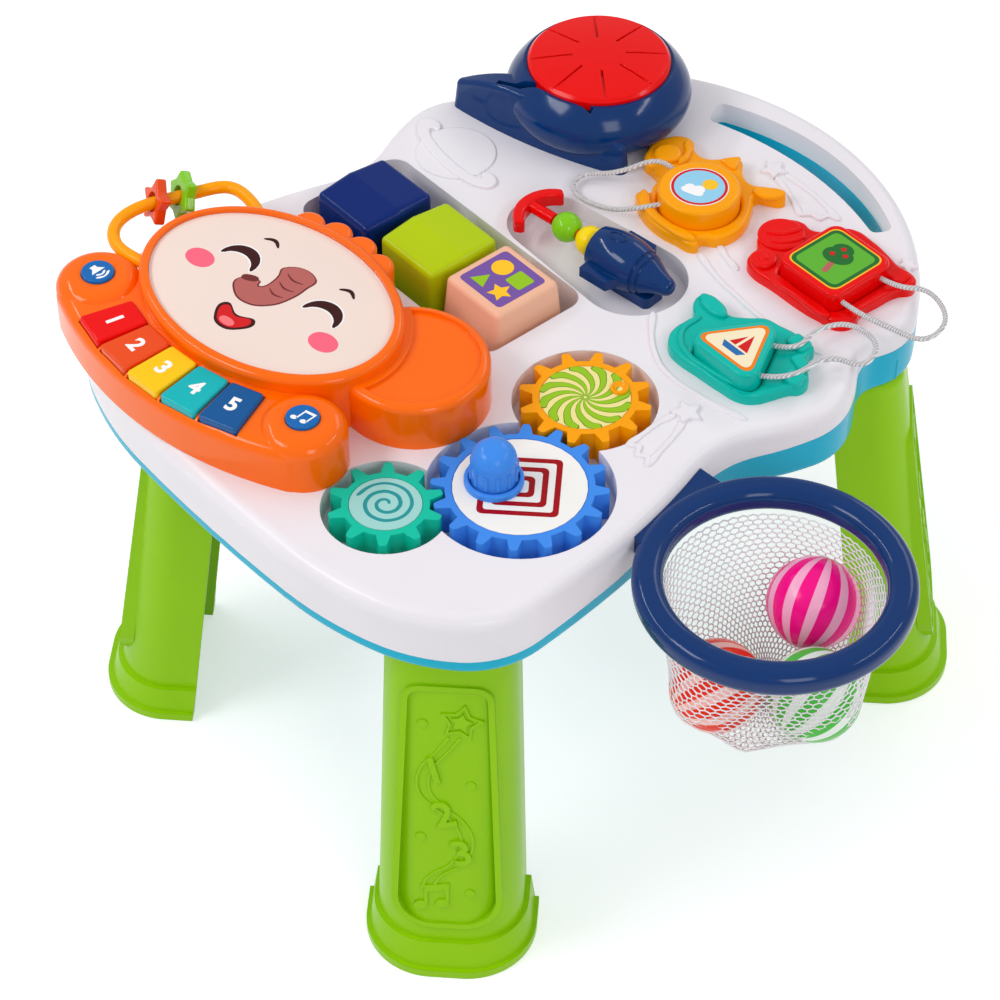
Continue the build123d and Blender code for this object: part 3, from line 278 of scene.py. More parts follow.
finishes = {
    "white_shell": finish("white_moulding", colour(238, 234, 240), 0.24, 0.04, 0.35),
    "teal_shell": finish("teal_moulding", colour(0, 178, 210), 0.2, 0.05),
    "leg_green": finish("green_moulding", colour(150, 207, 0), 0.26, 0.06),
    "piano_orange": finish("orange_moulding", colour(255, 108, 0), 0.06, 0.02, 0.3),
    "red": finish("red_moulding", colour(238, 4, 4), 0.1),
    "navy": finish("navy_moulding", colour(0, 50, 110), 0.06, 0.02, 0.3),
    "block_navy": finish("block_navy", colour(0, 36, 112), 0.14),
    "lime": finish("block_lime", colour(180, 205, 0), 0.14),
    "peach": finish("block_peach", colour(243, 188, 158), 0.16),
    "amber": finish("amber_moulding", colour(255, 165, 0), 0.12),
    "gear_yellow": finish("yellow_gear", colour(255, 165, 0), 0.12),
    "boat_teal": finish("boat_teal", colour(0, 188, 174), 0.12),
    "gear_teal": finish("teal_gear", colour(10, 195, 165), 0.14),
    "crank_blue": finish("crank_blue", colour(65, 142, 238), 0.14),
    "bead_lime": finish("bead_lime", colour(130, 205, 20), 0.08, 0.02, 0.3),
    "yellow": finish("bead_yellow", colour(255, 222, 0), 0.08, 0.02, 0.3),
    "key_orange": finish("key_orange", colour(235, 75, 15), 0.06, 0.02, 0.3),
    "key_yellow": finish("key_yellow", colour(255, 200, 0), 0.06, 0.02, 0.3),
    "key_teal": finish("key_teal", colour(0, 180, 185), 0.06, 0.02, 0.3),
    "key_blue": finish("key_blue", colour(0, 85, 150), 0.06, 0.02, 0.3),
    "button_blue": finish("button_blue", colour(20, 105, 180), 0.1),
    "face_cream": finish("face_cream", colour(243, 222, 212), 0.08, 0.02, 0.35),
    "board_green": finish("board_green", colour(60, 130, 85), 0.4),
    "speaker_dark": finish("speaker_dark", colour(50, 50, 52), 0.5),
    "battery_label": finish("cell_wrap", colour(70, 75, 85), 0.3),
    "steel": finish("screw_steel", colour(200, 200, 205), 0.3, metal=1.0),
}

# Stripes of the balls: how many, how far the sine must rise for the second colour, and the soft border
stripe_count = 11
stripe_share = 0.25
stripe_border = 0.06


def striped(first, second, centre, axis):
    """Stripes that run from pole to pole of a ball, about a tilted axis."""
    tilt = Vector(axis).to_track_quat("Z", "Y").to_euler()

    def pattern(tree):
        link = tree.links.new
        place = shader_node(tree, "TexCoord")
        mapped = shader_node(tree, "Mapping")
        mapped.vector_type = "TEXTURE"
        mapped.inputs["Location"].default_value = centre
        mapped.inputs["Rotation"].default_value = tilt
        link(place.outputs["Object"], mapped.inputs["Vector"])
        parts = shader_node(tree, "SeparateXYZ")
        link(mapped.outputs["Vector"], parts.inputs["Vector"])
        around = math_node(tree, "ARCTAN2")
        link(parts.outputs["Y"], around.inputs[0])
        link(parts.outputs["X"], around.inputs[1])
        times = math_node(tree, "MULTIPLY", {1: stripe_count})
        link(around.outputs["Value"], times.inputs[0])
        wave = math_node(tree, "SINE")
        link(times.outputs["Value"], wave.inputs[0])
        border = shader_node(
            tree, "MapRange",
            {"From Min": stripe_share - stripe_border, "From Max": stripe_share + stripe_border},
        )
        link(wave.outputs["Value"], border.inputs["Value"])
        return colour_mix(tree, border.outputs["Result"], first, second)

    return pattern


ball_stripes = {
    "red": (colour(240, 50, 22), colour(255, 196, 188), (0.337, 0.83, 0.283)),
    "green": (colour(80, 195, 70), colour(240, 250, 240), (0.014, 0.777, 0.495)),
    "pink": (colour(255, 8, 140), colour(255, 175, 210), (-0.285, 0.69, 0.665)),
}
for name, (first, second, axis) in ball_stripes.items():
    centre = spot(*ball_centre(f"{name}_ball"))
    finishes[f"ball_{name}"] = finish(
        f"{name}_ball_stripes", first, 0.14, pattern=striped(first, second, centre, axis)
    )

for entry in frame["record"]["subparts"]:
    slot_name = entry["material_slot"]
    if slot_name in finishes:
        materials = node[entry["node"]].data.materials
        materials.clear()
        materials.append(finishes[slot_name])

# CAD nodes are lit smoothly across their rounded faces
for obj in node.values():
    if not obj.hide_render:
        smooth_lit(obj, 30)


# Flat outlines, drawn in millimetres: their points, and how the line runs through them. AUTO is one
# smooth line, VECTOR has straight sides, and BOX rounds each corner through three points
def moved(points, x, y, turn):
    """Points turned about the origin, in degrees, and then moved."""
    c = math.cos(math.radians(turn))
    s = math.sin(math.radians(turn))
    return [(x + px * c - py * s, y + px * s + py * c) for px, py in points]


def round_outline(radius, x=0, y=0):
    return [polar(radius, 90 * step, x, y) for step in range(4)], "AUTO"


def oval_point(width, height, turn):
    at = math.radians(turn)
    return width / 2 * math.cos(at), height / 2 * math.sin(at)


def oval(width, height, x=0, y=0, turn=0):
    return moved([oval_point(width, height, 90 * step) for step in range(4)], x, y, turn), "AUTO"


def star_outline(reach, inner=0.5, x=0, y=0, turn=90):
    """A five-pointed star; inner is the reach of its notches as a share."""
    points = [polar(reach * (inner if step % 2 else 1), turn + 36 * step, x, y) for step in range(10)]
    return points, "VECTOR"


def soft_box(width, height, corner, x=0, y=0, turn=0):
    """A rounded rectangle."""
    points = []
    for number, (sx, sy) in enumerate(((1, 1), (-1, 1), (-1, -1), (1, -1))):
        cx = sx * (width / 2 - corner)
        cy = sy * (height / 2 - corner)
        points += [polar(corner, 90 * number + extra, cx, cy) for extra in (0, 45, 90)]
    return moved(points, x, y, turn), "BOX"


def soft_triangle(radius, corner, x=0, y=0):
    """A rounded triangle with one corner up."""
    points = []
    for turn in (90, 210, 330):
        cx, cy = polar(radius - 2 * corner, turn, x, y)
        points += [polar(corner, turn + extra, cx, cy) for extra in (-60, 0, 60)]
    return points, "BOX"


def sides(path, half_width):
    """Points left and right of a path, and just past its two ends; half_width takes the share run."""
    left = []
    right = []
    last = len(path) - 1
    for i, (x, y) in enumerate(path):
        before = path[max(i - 1, 0)]
        after = path[min(i + 1, last)]
        dx = after[0] - before[0]
        dy = after[1] - before[1]
        size = math.hypot(dx, dy)
        half = half_width(i / last)
        if i == 0:
            start = (x - dx / size * half, y - dy / size * half)
        left.append((x - dy / size * half, y + dx / size * half))
        right.append((x + dy / size * half, y - dx / size * half))
    return start, left, (x + dx / size * half, y + dy / size * half), right[::-1]


def band(path, width, taper=0.0):
    """A band of a width along a path, with round ends; taper thins it towards its ends."""
    start, left, end, right = sides(path, lambda share: width / 2 * (1 - taper * abs(2 * share - 1) ** 2))
    return [start, *left, end, *right], "AUTO"


def horn(path, first, last, grow=0.0):
    """A form along a path that runs from one width to another; grow widens it all along."""
    start, left, end, right = sides(path, lambda share: (first + (last - first) * share) / 2 + grow)
    return left + right, "AUTO"


def laid(piece, name, place, thick, material, body):
    """A flat drawing as a thin mesh that lies on its place and rides its body."""
    only(piece)
    bpy.ops.object.convert(target="MESH")
    piece = bpy.context.object
    piece.name = name
    piece.data.transform(place @ Matrix.Translation((0, 0, thick / 2)))
    piece.data.materials.clear()
    piece.data.materials.append(material)
    smooth_lit(piece, 40)
    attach(piece, body)
    return piece


def cut(name, outlines, place, thick, material, body, edge=0.0):
    """A thin piece cut along its outlines; edge rounds its rims."""
    data = bpy.data.curves.new(name, "CURVE")
    data.dimensions = "2D"
    data.fill_mode = "BOTH"
    for points, kind in outlines:
        line = data.splines.new("BEZIER")
        line.bezier_points.add(len(points) - 1)
        for i, (point, (x, y)) in enumerate(zip(line.bezier_points, points)):
            point.co = (x, y, 0)
            handle = "VECTOR" if kind == "VECTOR" else "AUTO"
            point.handle_left_type = "VECTOR" if kind == "BOX" and i % 3 == 0 else handle
            point.handle_right_type = "VECTOR" if kind == "BOX" and i % 3 == 2 else handle
        line.use_cyclic_u = True
        line.resolution_u = 8
    data.extrude = thick / 2 - edge
    data.bevel_depth = edge
    data.bevel_resolution = 3 if edge else 0
    data.offset = -edge
    piece = bpy.data.objects.new(name, data)
    bpy.context.scene.collection.objects.link(piece)
    return laid(piece, name, place, thick, material, body)


def figure(name, text, size, place, thick, material, body, edge=0.0, bold=0.035):
    """A plain figure; bold widens it by a share of its size."""
    bpy.ops.object.text_add()
    piece = bpy.context.object
    piece.data.body = text
    piece.data.size = size
    piece.data.align_x = "CENTER"
    piece.data.align_y = "CENTER"
    piece.data.extrude = thick / 2 - edge
    piece.data.bevel_depth = edge
    piece.data.offset = bold * size
    piece.data.resolution_u = 6
    laid(piece, name, place, thick, material, body)


def print_ink(name, red, green, blue):
    return finish(name, colour(red, green, blue), 0.2, 0.01, edge=0.0001)


paper = print_ink("label_white", 246, 244, 240)
dark_red = print_ink("ink_dark_red", 165, 0, 15)
leaf_green = print_ink("ink_leaf_green", 150, 200, 30)
pale_yellow = print_ink("ink_pale_yellow", 243, 230, 150)
pale_teal = print_ink("label_pale_teal", 160, 215, 210)
deep_teal = print_ink("ink_teal", 35, 150, 155)
ink_white = print_ink("ink_white", 250, 250, 250)
ink_brown = print_ink("ink_brown", 60, 15, 15)
ink_pink = print_ink("ink_pink", 250, 105, 130)
ink_tan = print_ink("ink_tan", 185, 100, 95)
ink_outline = print_ink("ink_brown_line", 115, 45, 45)
ink_red = print_ink("ink_red", 215, 25, 30)
ink_tongue = print_ink("ink_tongue", 250, 120, 125)
ink_sky = print_ink("ink_sky", 150, 210, 240)
ink_sun = print_ink("ink_sun", 255, 200, 40)
ink_green = print_ink("ink_green", 95, 180, 50)
ink_dark_green = print_ink("ink_dark_green", 30, 110, 45)
ink_cream = print_ink("ink_cream", 250, 235, 200)
ink_orange = print_ink("ink_orange", 245, 130, 20)
ink_purple = print_ink("ink_purple", 120, 85, 165)
ink_blue = print_ink("ink_blue", 40, 110, 180)

# Gear labels lie sunk in the gears' seats, and their print stands a hair above them
label_seat = gear_top - 0.6
label_thick = 0.45
print_floor = gear_top - 0.2
for body, place, radius, material in (
    ("crank", crank_place, 39, paper),
    ("pinwheel", pinwheel_place, 27, pale_yellow),
    ("spiral", spiral_place, 21, pale_teal),
):
    cut(f"{body}_label", [round_outline(radius)], lying(*place, label_seat), label_thick, material, body)

# Crank gear: squares inside each other
for number, (size, hole) in enumerate(((47, 40), (32, 25), (17, 10))):
    cut(
        f"crank_label_square_{number + 1}", [soft_box(size, size, 3.5), soft_box(hole, hole, 2)],
        lying(*crank_place, print_floor, 45), 0.12, dark_red, "crank",
    )

# Pinwheel gear: swirled blades with thin dark edges
blades = 12
blade_reach = 26.5
blade_swirl = 62


def swirl(half):
    """The blades' outlines, each as wide as twice the half angle in degrees."""
    outlines = []
    for number in range(blades):
        rims = [], []
        for share in (0.04, 0.2, 0.4, 0.6, 0.8, 1.0):
            turn = 360 * number / blades + blade_swirl * share
            for rim, lean in zip(rims, (-half, half)):
                rim.append(polar(blade_reach * share, turn + lean))
        outlines.append((rims[0] + rims[1][::-1], "AUTO"))
    return outlines


cut("pinwheel_blade_edges", swirl(8.2), lying(*pinwheel_place, print_floor), 0.1, ink_dark_green, "pinwheel")
cut("pinwheel_blades", swirl(6.9), lying(*pinwheel_place, print_floor + 0.06), 0.1, leaf_green, "pinwheel")

# Spiral gear: one line
spiral_steps = 20
spiral_path = [
    polar(2.2 + 15.5 * step / (spiral_steps - 1), step * 45 + 70) for step in range(spiral_steps)
]
spiral_line = band(spiral_path, 2.4, 0.3)
cut("spiral_line", [spiral_line], lying(*spiral_place, print_floor), 0.12, deep_teal, "spiral")

# Face on the hand piano: closed eyes, cheeks, a short trunk and a smile. Each layer has its outline,
# its rise above the face plate, its thickness and its ink
face_top = 37.5
face_layers = {}
for side, side_name in ((-1, "left"), (1, "right")):
    eye = [polar(13, 90 - turn, side * 36, 3) for turn in range(-80, 81, 20)]
    brow = [(side * 33 - 6, 31), (side * 33, 34), (side * 33 + 6, 31)]
    face_layers[f"{side_name}_eye_rim"] = (band(eye, 9.4, 0.62), 0, 0.12, ink_white)
    face_layers[f"{side_name}_eye"] = (band(eye, 7.2, 0.75), 0.06, 0.14, ink_brown)
    face_layers[f"{side_name}_brow"] = (band(brow, 2.6, 0.6), 0, 0.15, ink_brown)
    face_layers[f"{side_name}_cheek"] = (oval(20, 15, side * 54, -8), 0, 0.12, ink_pink)
trunk = [(0, 24), (2.5, 15), (3, 6), (0.5, -3), (-6.5, -8.5), (-14, -7), (-18, -1)]
face_layers["trunk_line"] = (horn(trunk, 21, 12, 1.1), 0, 0.12, ink_outline)
face_layers["trunk"] = (horn(trunk, 21, 12), 0.08, 0.12, ink_tan)
face_layers["trunk_tip"] = (oval(11, 5.5, -18.6, 0.5, 25), 0.16, 0.1, ink_outline)
for number, (x, y, width) in enumerate(((1.5, 17.5, 7), (3, 9, 6.5), (2.5, 1, 6))):
    fold = [(x - width, y + 1.4), (x, y - 0.8), (x + width, y + 1)]
    face_layers[f"trunk_fold_{number + 1}"] = (band(fold, 1.3, 0.8), 0.16, 0.1, ink_outline)
mouth_line = ([(-13, -24), (0, -27), (13, -24), (9, -37), (0, -41), (-9, -37)], "AUTO")
mouth = ([(-11, -25.5), (0, -28.5), (11, -25.5), (8, -35.5), (0, -39), (-8, -35.5)], "AUTO")
face_layers["mouth_line"] = (mouth_line, 0, 0.12, ink_brown)
face_layers["mouth"] = (mouth, 0.08, 0.12, ink_red)
face_layers["tongue"] = (oval(11, 6, 0, -35), 0.16, 0.1, ink_tongue)
for name, (outline, rise, thick, ink) in face_layers.items():
    cut(name, [outline], on_panel(0, 0, face_top + rise), thick, ink, "piano")

# Figures on the keys, and signs on the two buttons: a sound sign and a note
key_arc = 191
key_centre = 106
key_pitch = 26.4
key_top = 33
button_top = 36
button_x = 90
button_y = -58
print_sink = 0.04
print_thick = 0.16
for number in range(1, 6):
    turn = math.degrees(key_pitch / key_arc) * (number - 3)
    x, y = polar(key_arc, turn - 90, 0, key_centre)
    place = on_panel(x, y, key_top - print_sink, turn)
    figure(f"key_figure_{number}", str(number), 15, place, print_thick, ink_white, f"key_{number}")
signs = {
    "left": (-1, [
        ([(-5, -2), (-2.5, -2), (1, -5), (1, 5), (-2.5, 2), (-5, 2)], "VECTOR"),
        band([(3, -3), (4.2, 0), (3, 3)], 1.1),
        band([(5, -4.6), (6.8, 0), (5, 4.6)], 1.1),
    ]),
    "right": (1, [
        oval(4.2, 3.2, -3, -4, 20),
        oval(4.2, 3.2, 3.6, -2.8, 20),
        ([
            (-1.9, -3.6), (-0.9, -3.6), (-0.9, 3.2), (4.7, 4.2),
            (4.7, -2.4), (5.7, -2.4), (5.7, 6.2), (-1.9, 4.8),
        ], "VECTOR"),
    ]),
}
for name, (side, outlines) in signs.items():
    place = on_panel(side * button_x, button_y, button_top - print_sink)
    cut(f"{name}_sign", outlines, place, print_thick, ink_white, f"{name}_button")

# Stickers on the three pucks and the peach block. Each layer has its name, outlines, rise above the
# top, thickness, turn and ink
stickers = {
    "airplane": (plane_place, puck_top, [
        ("plane_sticker", [round_outline(18.5)], -0.03, 0.15, 0, paper),
        ("plane_sticker_ring", [round_outline(17.8), round_outline(16)], 0.1, 0.1, 0, ink_red),
        ("plane_sticker_sky", [round_outline(16)], 0.09, 0.09, 0, ink_sky),
        ("plane_sticker_sun", [round_outline(5, 5, 5)], 0.14, 0.1, 20, ink_sun),
        ("plane_sticker_cloud_1", [oval(15, 6, -2, -6)], 0.18, 0.1, 20, ink_white),
        ("plane_sticker_cloud_2", [oval(7, 7, -5, -3.5)], 0.2, 0.1, 20, ink_white),
        ("plane_sticker_cloud_3", [oval(8, 8, 1, -3)], 0.22, 0.1, 20, ink_white),
    ]),
    "train": (train_place, puck_top, [
        ("train_sticker", [soft_box(42, 44, 6)], -0.03, 0.15, 0, ink_sun),
        ("train_sticker_edge", [soft_box(40, 42, 5.5)], 0.09, 0.1, 0, ink_dark_green),
        ("train_sticker_field", [soft_box(35, 37, 4)], 0.14, 0.1, 0, ink_green),
        ("train_sticker_trunk", [soft_box(4, 13, 1.5, 0, -8)], 0.2, 0.1, 15, ink_tan),
        ("train_sticker_tree_1", [oval(20, 15, 0, 3)], 0.24, 0.1, 15, ink_dark_green),
        ("train_sticker_tree_2", [oval(14, 12, 0, 9)], 0.27, 0.1, 15, ink_dark_green),
        ("train_sticker_fruit_1", [round_outline(1.8, -4, 3)], 0.34, 0.1, 15, ink_red),
        ("train_sticker_fruit_2", [round_outline(1.8, 4, 5)], 0.34, 0.1, 15, ink_red),
        ("train_sticker_fruit_3", [round_outline(1.8, 0, 10)], 0.34, 0.1, 15, ink_red),
    ]),
    "boat": (boat_place, puck_top, [
        ("boat_sticker", [soft_triangle(28, 4.5)], -0.03, 0.15, 0, ink_orange),
        ("boat_sticker_field", [soft_triangle(24, 3.5)], 0.09, 0.1, 0, ink_cream),
        ("boat_sticker_sail", [
            ([(1, 12), (1, -2), (9, -2)], "VECTOR"), ([(-1, 9), (-1, -2), (-6, -2)], "VECTOR"),
        ], 0.16, 0.1, 0, ink_red),
        ("boat_sticker_hull", [
            ([(-9, -3.5), (9, -3.5), (6, -8), (-6, -8)], "VECTOR"),
        ], 0.16, 0.1, 0, ink_blue),
    ]),
    "peach_block": (block_place, block_top, [
        ("block_label", [soft_box(38, 38, 3)], -0.03, 0.15, 0, ink_purple),
        ("block_label_round", [round_outline(7, -8, 7)], 0.1, 0.1, 0, ink_sun),
        ("block_label_square", [soft_box(13, 13, 1.5, 8, 7)], 0.1, 0.1, 0, leaf_green),
        ("block_label_triangle", [([(-14, -14), (-2, -14), (-8, -3)], "VECTOR")], 0.1, 0.1, 0, leaf_green),
        ("block_label_star", [star_outline(8, 0.5, 8, -9)], 0.1, 0.1, 0, ink_sun),
    ]),
}
for body, (place, top, layers) in stickers.items():
    for name, outlines, rise, thick, turn, ink in layers:
        cut(name, outlines, lying(*place, top + rise, turn), thick, ink, body)

# Raised figures on the white top
white = finishes["white_shell"]
relief_root = 0.6


def relief(name, outlines, place, rise, material, edge):
    """A raised figure on the table, rooted a little below the face that it stands on."""
    root = place @ Matrix.Translation((0, 0, -relief_root))
    cut(name, outlines, root, rise + relief_root, material, "table", edge)


def ring_front(width, height, hole_width, hole_height, x, y, turn):
    """The near part of a flat ring around a ball."""
    turns = [150 + 30 * step for step in range(9)]
    rim = [oval_point(width, height, at) for at in turns]
    hole = [oval_point(hole_width, hole_height, at) for at in turns[::-1]]
    return moved(rim + hole, x, y, turn), "AUTO"


relief("deck_ball", [round_outline(26, -137, 57.5)], lying(0, 0), 1.1, white, 0.9)
relief("deck_ball_ring", [ring_front(82, 28, 60, 13, -136, 57, -7)], lying(0, 0), 2.2, white, 0.9)
deck_lines = {
    "falling_star_edge_1": [(133, -2), (132, -14), (133, -26), (134, -39)],
    "falling_star_edge_2": [(141, -2), (146, -14), (150, -28), (154, -42)],
    "passing_star_edge_1": [(17, 203), (34, 203), (52, 201), (69, 197)],
    "passing_star_edge_2": [(15, 196), (26, 193), (38, 188), (50, 182)],
    "rail_back": [(37.5, 108), (58, 102), (78, 99), (102, 96.5), (125, 95.5), (151, 102)],
    "rail_front": [(39, 123), (50, 119), (62, 116)],
    "wave": [(59, 49), (72, 36), (86, 26), (102, 20), (132, 21), (162, 27)],
}
star_tails = {
    "falling_star": [(134, -39), (139.5, -35), (144, -41), (149, -37), (154, -42)],
    "passing_star": [(69, 197), (62, 195), (61.5, 188.5), (55, 188), (50, 182)],
}
for name, corners in star_tails.items():
    for number, (start, end) in enumerate(zip(corners, corners[1:])):
        middle = ((start[0] + end[0]) / 2, (start[1] + end[1]) / 2)
        deck_lines[f"{name}_tail_{number + 1}"] = [start, middle, end]
# Each line stands a hair above the last, so that no two share a face where they cross
for number, (name, path) in enumerate(deck_lines.items()):
    relief(f"deck_{name}", [band(path, 3)], lying(0, 0), 1.2 + 0.03 * number, white, 0.7)
deck_stars = {
    "falling_star": (137, 5, 10, 84),
    "passing_star": (8, 200, 9, 170),
    "small_star": (128.5, 198, 7, 95),
}
for name, (x, y, reach, turn) in deck_stars.items():
    relief(f"deck_{name}", [star_outline(reach, 0.52, x, y, turn)], lying(0, 0), 2.3, white, 0.8)

# Shapes that the pucks sit in: soft slabs with bosses, each with a seat cut for its puck
base_rise = 8
base_seat = 4
base_soft = 2.6
# The seat's floor reaches a little past its walls and clears the deck
seat_grow = 1.06
seat_lift = 0.05
amber = finishes["amber"]
red = finishes["red"]
boat_teal = finishes["boat_teal"]
base_outlines = {
    "airplane": (amber, [
        (-53, 145.2), (-56.5, 154), (-55, 166), (-50, 173.5), (-41.7, 175.7), (-33.6, 170),
        (-24.5, 169.2), (-18, 175), (-13, 184), (-7, 185.5), (2.2, 177.5), (14.1, 174), (22.8, 180),
        (30.3, 184), (37, 182), (37.4, 178), (31, 172.5), (25, 168), (30, 160), (38, 148), (42, 132),
        (39, 121), (31.8, 113.5), (34.6, 108), (31.9, 104.6), (21.4, 102.6), (9.3, 100.5), (-10, 103),
        (-22.5, 109.2), (-26.6, 113), (-25, 117), (-21.5, 120), (-24.5, 125), (-28.1, 132.8),
        (-38.6, 137), (-44, 136.8), (-49.8, 140.5),
    ], round_outline(26.6, *plane_place)),
    "train": (red, [
        (48.5, 150.2), (48.1, 159.2), (54.6, 168.6), (62.7, 172.6), (71, 172), (76, 176), (79.5, 184),
        (87.5, 192), (103.9, 193), (118.2, 191), (130, 188.5), (141.7, 189), (147, 186), (148.5, 179),
        (144.8, 172), (143.5, 157.6), (143.5, 142), (147, 133), (144.7, 125.2), (138.4, 121),
        (130, 120.5), (120, 119), (90.6, 118.5), (72, 118.2), (65, 121.6), (62.3, 127), (61, 134),
        (54.8, 139.9),
    ], soft_box(51.2, 53.2, 8.6, *train_place)),
    "boat": (boat_teal, [
        (72, 70.5), (70.1, 76), (72.3, 80.5), (78, 82), (86.2, 80.6), (95, 78.5), (103, 84), (112, 93),
        (122, 95), (131, 97), (141, 97.5), (149.5, 96.5), (151.5, 90), (156, 83), (163, 78.5),
        (168, 73), (168.5, 66), (164.7, 60.5), (161.5, 51), (157.7, 41), (150.4, 34.5), (135.8, 32),
        (116.4, 30.8), (101.7, 30), (91.7, 32), (84.9, 38), (81.8, 45.6), (81.5, 55), (81, 62), (75, 67),
    ], soft_triangle(37.2, 9.6, *boat_place)),
}


def grown(outline, share):
    """An outline grown from its middle."""
    points, kind = outline
    x = sum(point[0] for point in points) / len(points)
    y = sum(point[1] for point in points) / len(points)
    return [(x + (px - x) * share, y + (py - y) * share) for px, py in points], kind


for name, (plastic, outline, seat) in base_outlines.items():
    slab = cut(
        f"{name}_shape", [(outline, "AUTO"), seat], lying(0, 0, -base_soft), base_rise + base_soft,
        plastic, "table", base_soft,
    )
    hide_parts(f"{name}_base")
    floor_outline = [grown(seat, seat_grow)]
    cut(f"{name}_seat", floor_outline, lying(0, 0, seat_lift), base_seat - 2 * seat_lift, plastic, "table")

# Each boss has its plastic, outline, rise above the slab and soft edge
boss_root = 0.4
bosses = {
    "plane_tail": (amber, round_outline(9, -40.5, 152.5), 3.0, 2.2),
    "plane_tail_fin": (amber, band([(-29, 153), (-33, 163), (-41, 170)], 4), 2.2, 1.4),
    "plane_wing": (amber, band([(24, 171), (29, 174.5), (33.5, 179.5)], 10, 0.2), 1.8, 1.5),
    "plane_far_wing": (amber, band([(-22, 115), (-10, 107.5), (10, 104.8), (30, 108)], 6.5, 0.2), 2.6, 2.0),
    "plane_nose": (amber, soft_triangle(9, 2, -8, 178), 2.0, 1.4),
    "train_front": (red, round_outline(15, 63, 153), 1.6, 1.4),
    "train_ridge_1": (red, band([(64, 143), (71, 150), (75, 160)], 3.2, 0.3), 2.6, 1.2),
    "train_ridge_2": (red, band([(57, 147), (64, 154), (68, 165)], 3.2, 0.3), 2.8, 1.2),
    "train_wheel_1": (red, round_outline(8.5, 73, 128), 2.6, 1.8),
    "train_wheel_1_hub": (red, round_outline(3.6, 73, 128), 3.6, 1.4),
    "train_wheel_2": (red, band([(88, 121.5), (108, 121.5), (134, 121.5)], 6, 0.2), 1.8, 1.4),
    "train_funnel": (red, soft_box(13, 12, 3, 137, 180, 10), 2.4, 1.6),
    "boat_mast": (boat_teal, band([(76, 76), (84, 75), (93, 74)], 11, 0.3), 3.0, 2.4),
    "boat_rim": (boat_teal, band([(86, 62), (88, 46), (100, 36), (124, 35), (148, 39)], 3.5, 0.3), 1.6, 1.2),
    "boat_cabin": (boat_teal, soft_box(14, 11, 3, 142, 91), 2.6, 1.8),
    "boat_cleat": (boat_teal, soft_box(14, 8, 2.5, 155, 79.5, -18), 2.2, 1.6),
    "boat_knob": (boat_teal, soft_box(12, 11, 3, 162, 67, 15), 3.6, 2.2),
}
for name, (plastic, outline, rise, edge) in bosses.items():
    root = edge + boss_root
    cut(f"{name}_boss", [outline], lying(0, 0, base_rise - root), rise + root, plastic, "table", edge)

# Raised figures on the legs' outer faces
leg_x_front = 171
leg_x_back = 180
leg_y = 212
leg_splay = 45
leg_fall = 272
# How far up the leg the figures' middle lies, as a share of its fall
leg_middle = 0.47
green = finishes["leg_green"]
leg_sides = {
    "leg_front_right": (1, -1),
    "leg_back_right": (1, 1),
    "leg_back_left": (-1, 1),
    "leg_front_left": (-1, -1),
}
trail = [
    (4, 56), (-4, 44), (-13, 31), (-14, 14), (-5, 2), (7, -10), (12, -26), (6, -42), (-8, -54), (-12, -64),
]
note_stem = [
    (-14, -76), (-11.6, -76), (-11.6, -66), (-1, -64), (-1, -74), (1.4, -74), (1.4, -58.5), (-14, -61),
]
star_rim = [star_outline(14, 0.55, 8, 68, 80), star_outline(10.5, 0.55, 8, 68, 80)]
# Each figure has its outlines, its rise and its soft edge
leg_figures = {
    "star": (star_rim, 1.2, 0.4),
    "star_middle": ([star_outline(7, 0.55, 8, 68, 80)], 1.2, 0.5),
    "ribbon_left": ([band([(x - 3.5, y) for x, y in trail], 2, 0.2)], 0.9, 0.4),
    "ribbon_right": ([band([(x + 3.5, y) for x, y in trail], 2, 0.2)], 0.9, 0.4),
    "note_head_1": ([oval(9, 6.5, -16, -77, 20)], 1.4, 0.5),
    "note_head_2": ([oval(9, 6.5, -3, -75, 20)], 1.45, 0.5),
    "note_stem": ([(note_stem, "VECTOR")], 1.1, 0.3),
}
for number, (x, y) in enumerate(((-15, 66), (14, 20), (-16, -22), (14, -66))):
    leg_figures[f"dot_{number + 1}"] = ([round_outline(3.2, x, y)], 0.9, 0.4)
for leg, (side_x, side_y) in leg_sides.items():
    out = Vector((side_x, side_y, 0)) * math.sqrt(0.5)
    leg_x = leg_x_back if side_y > 0 else leg_x_front
    lean = leg_splay * leg_middle
    middle = spot(
        side_x * leg_x - out.x * lean, side_y * leg_y - out.y * lean, leg_fall * leg_middle - deck_height
    )
    normal = Vector((out.x, out.y, leg_splay / leg_fall)).normalized()
    across = Vector((-out.y, out.x, 0))
    axes = Matrix((across, normal.cross(across), normal)).transposed().to_4x4()
    face = Matrix.Translation(middle) @ axes @ Matrix.Scale(mm, 4)
    for name, (outlines, rise, edge) in leg_figures.items():
        relief(f"{leg}_{name}", outlines, face, rise, green, edge)
    for number, (x, y) in enumerate(((-8, 30), (-2, -4), (9, -34))):
        place = face @ Matrix.Translation((x, y, -relief_root)) @ turned(14)
        figure(f"{leg}_figure_{number + 1}", str(number + 1), 27, place, 2.5, green, "table", 0.4, 0.01)

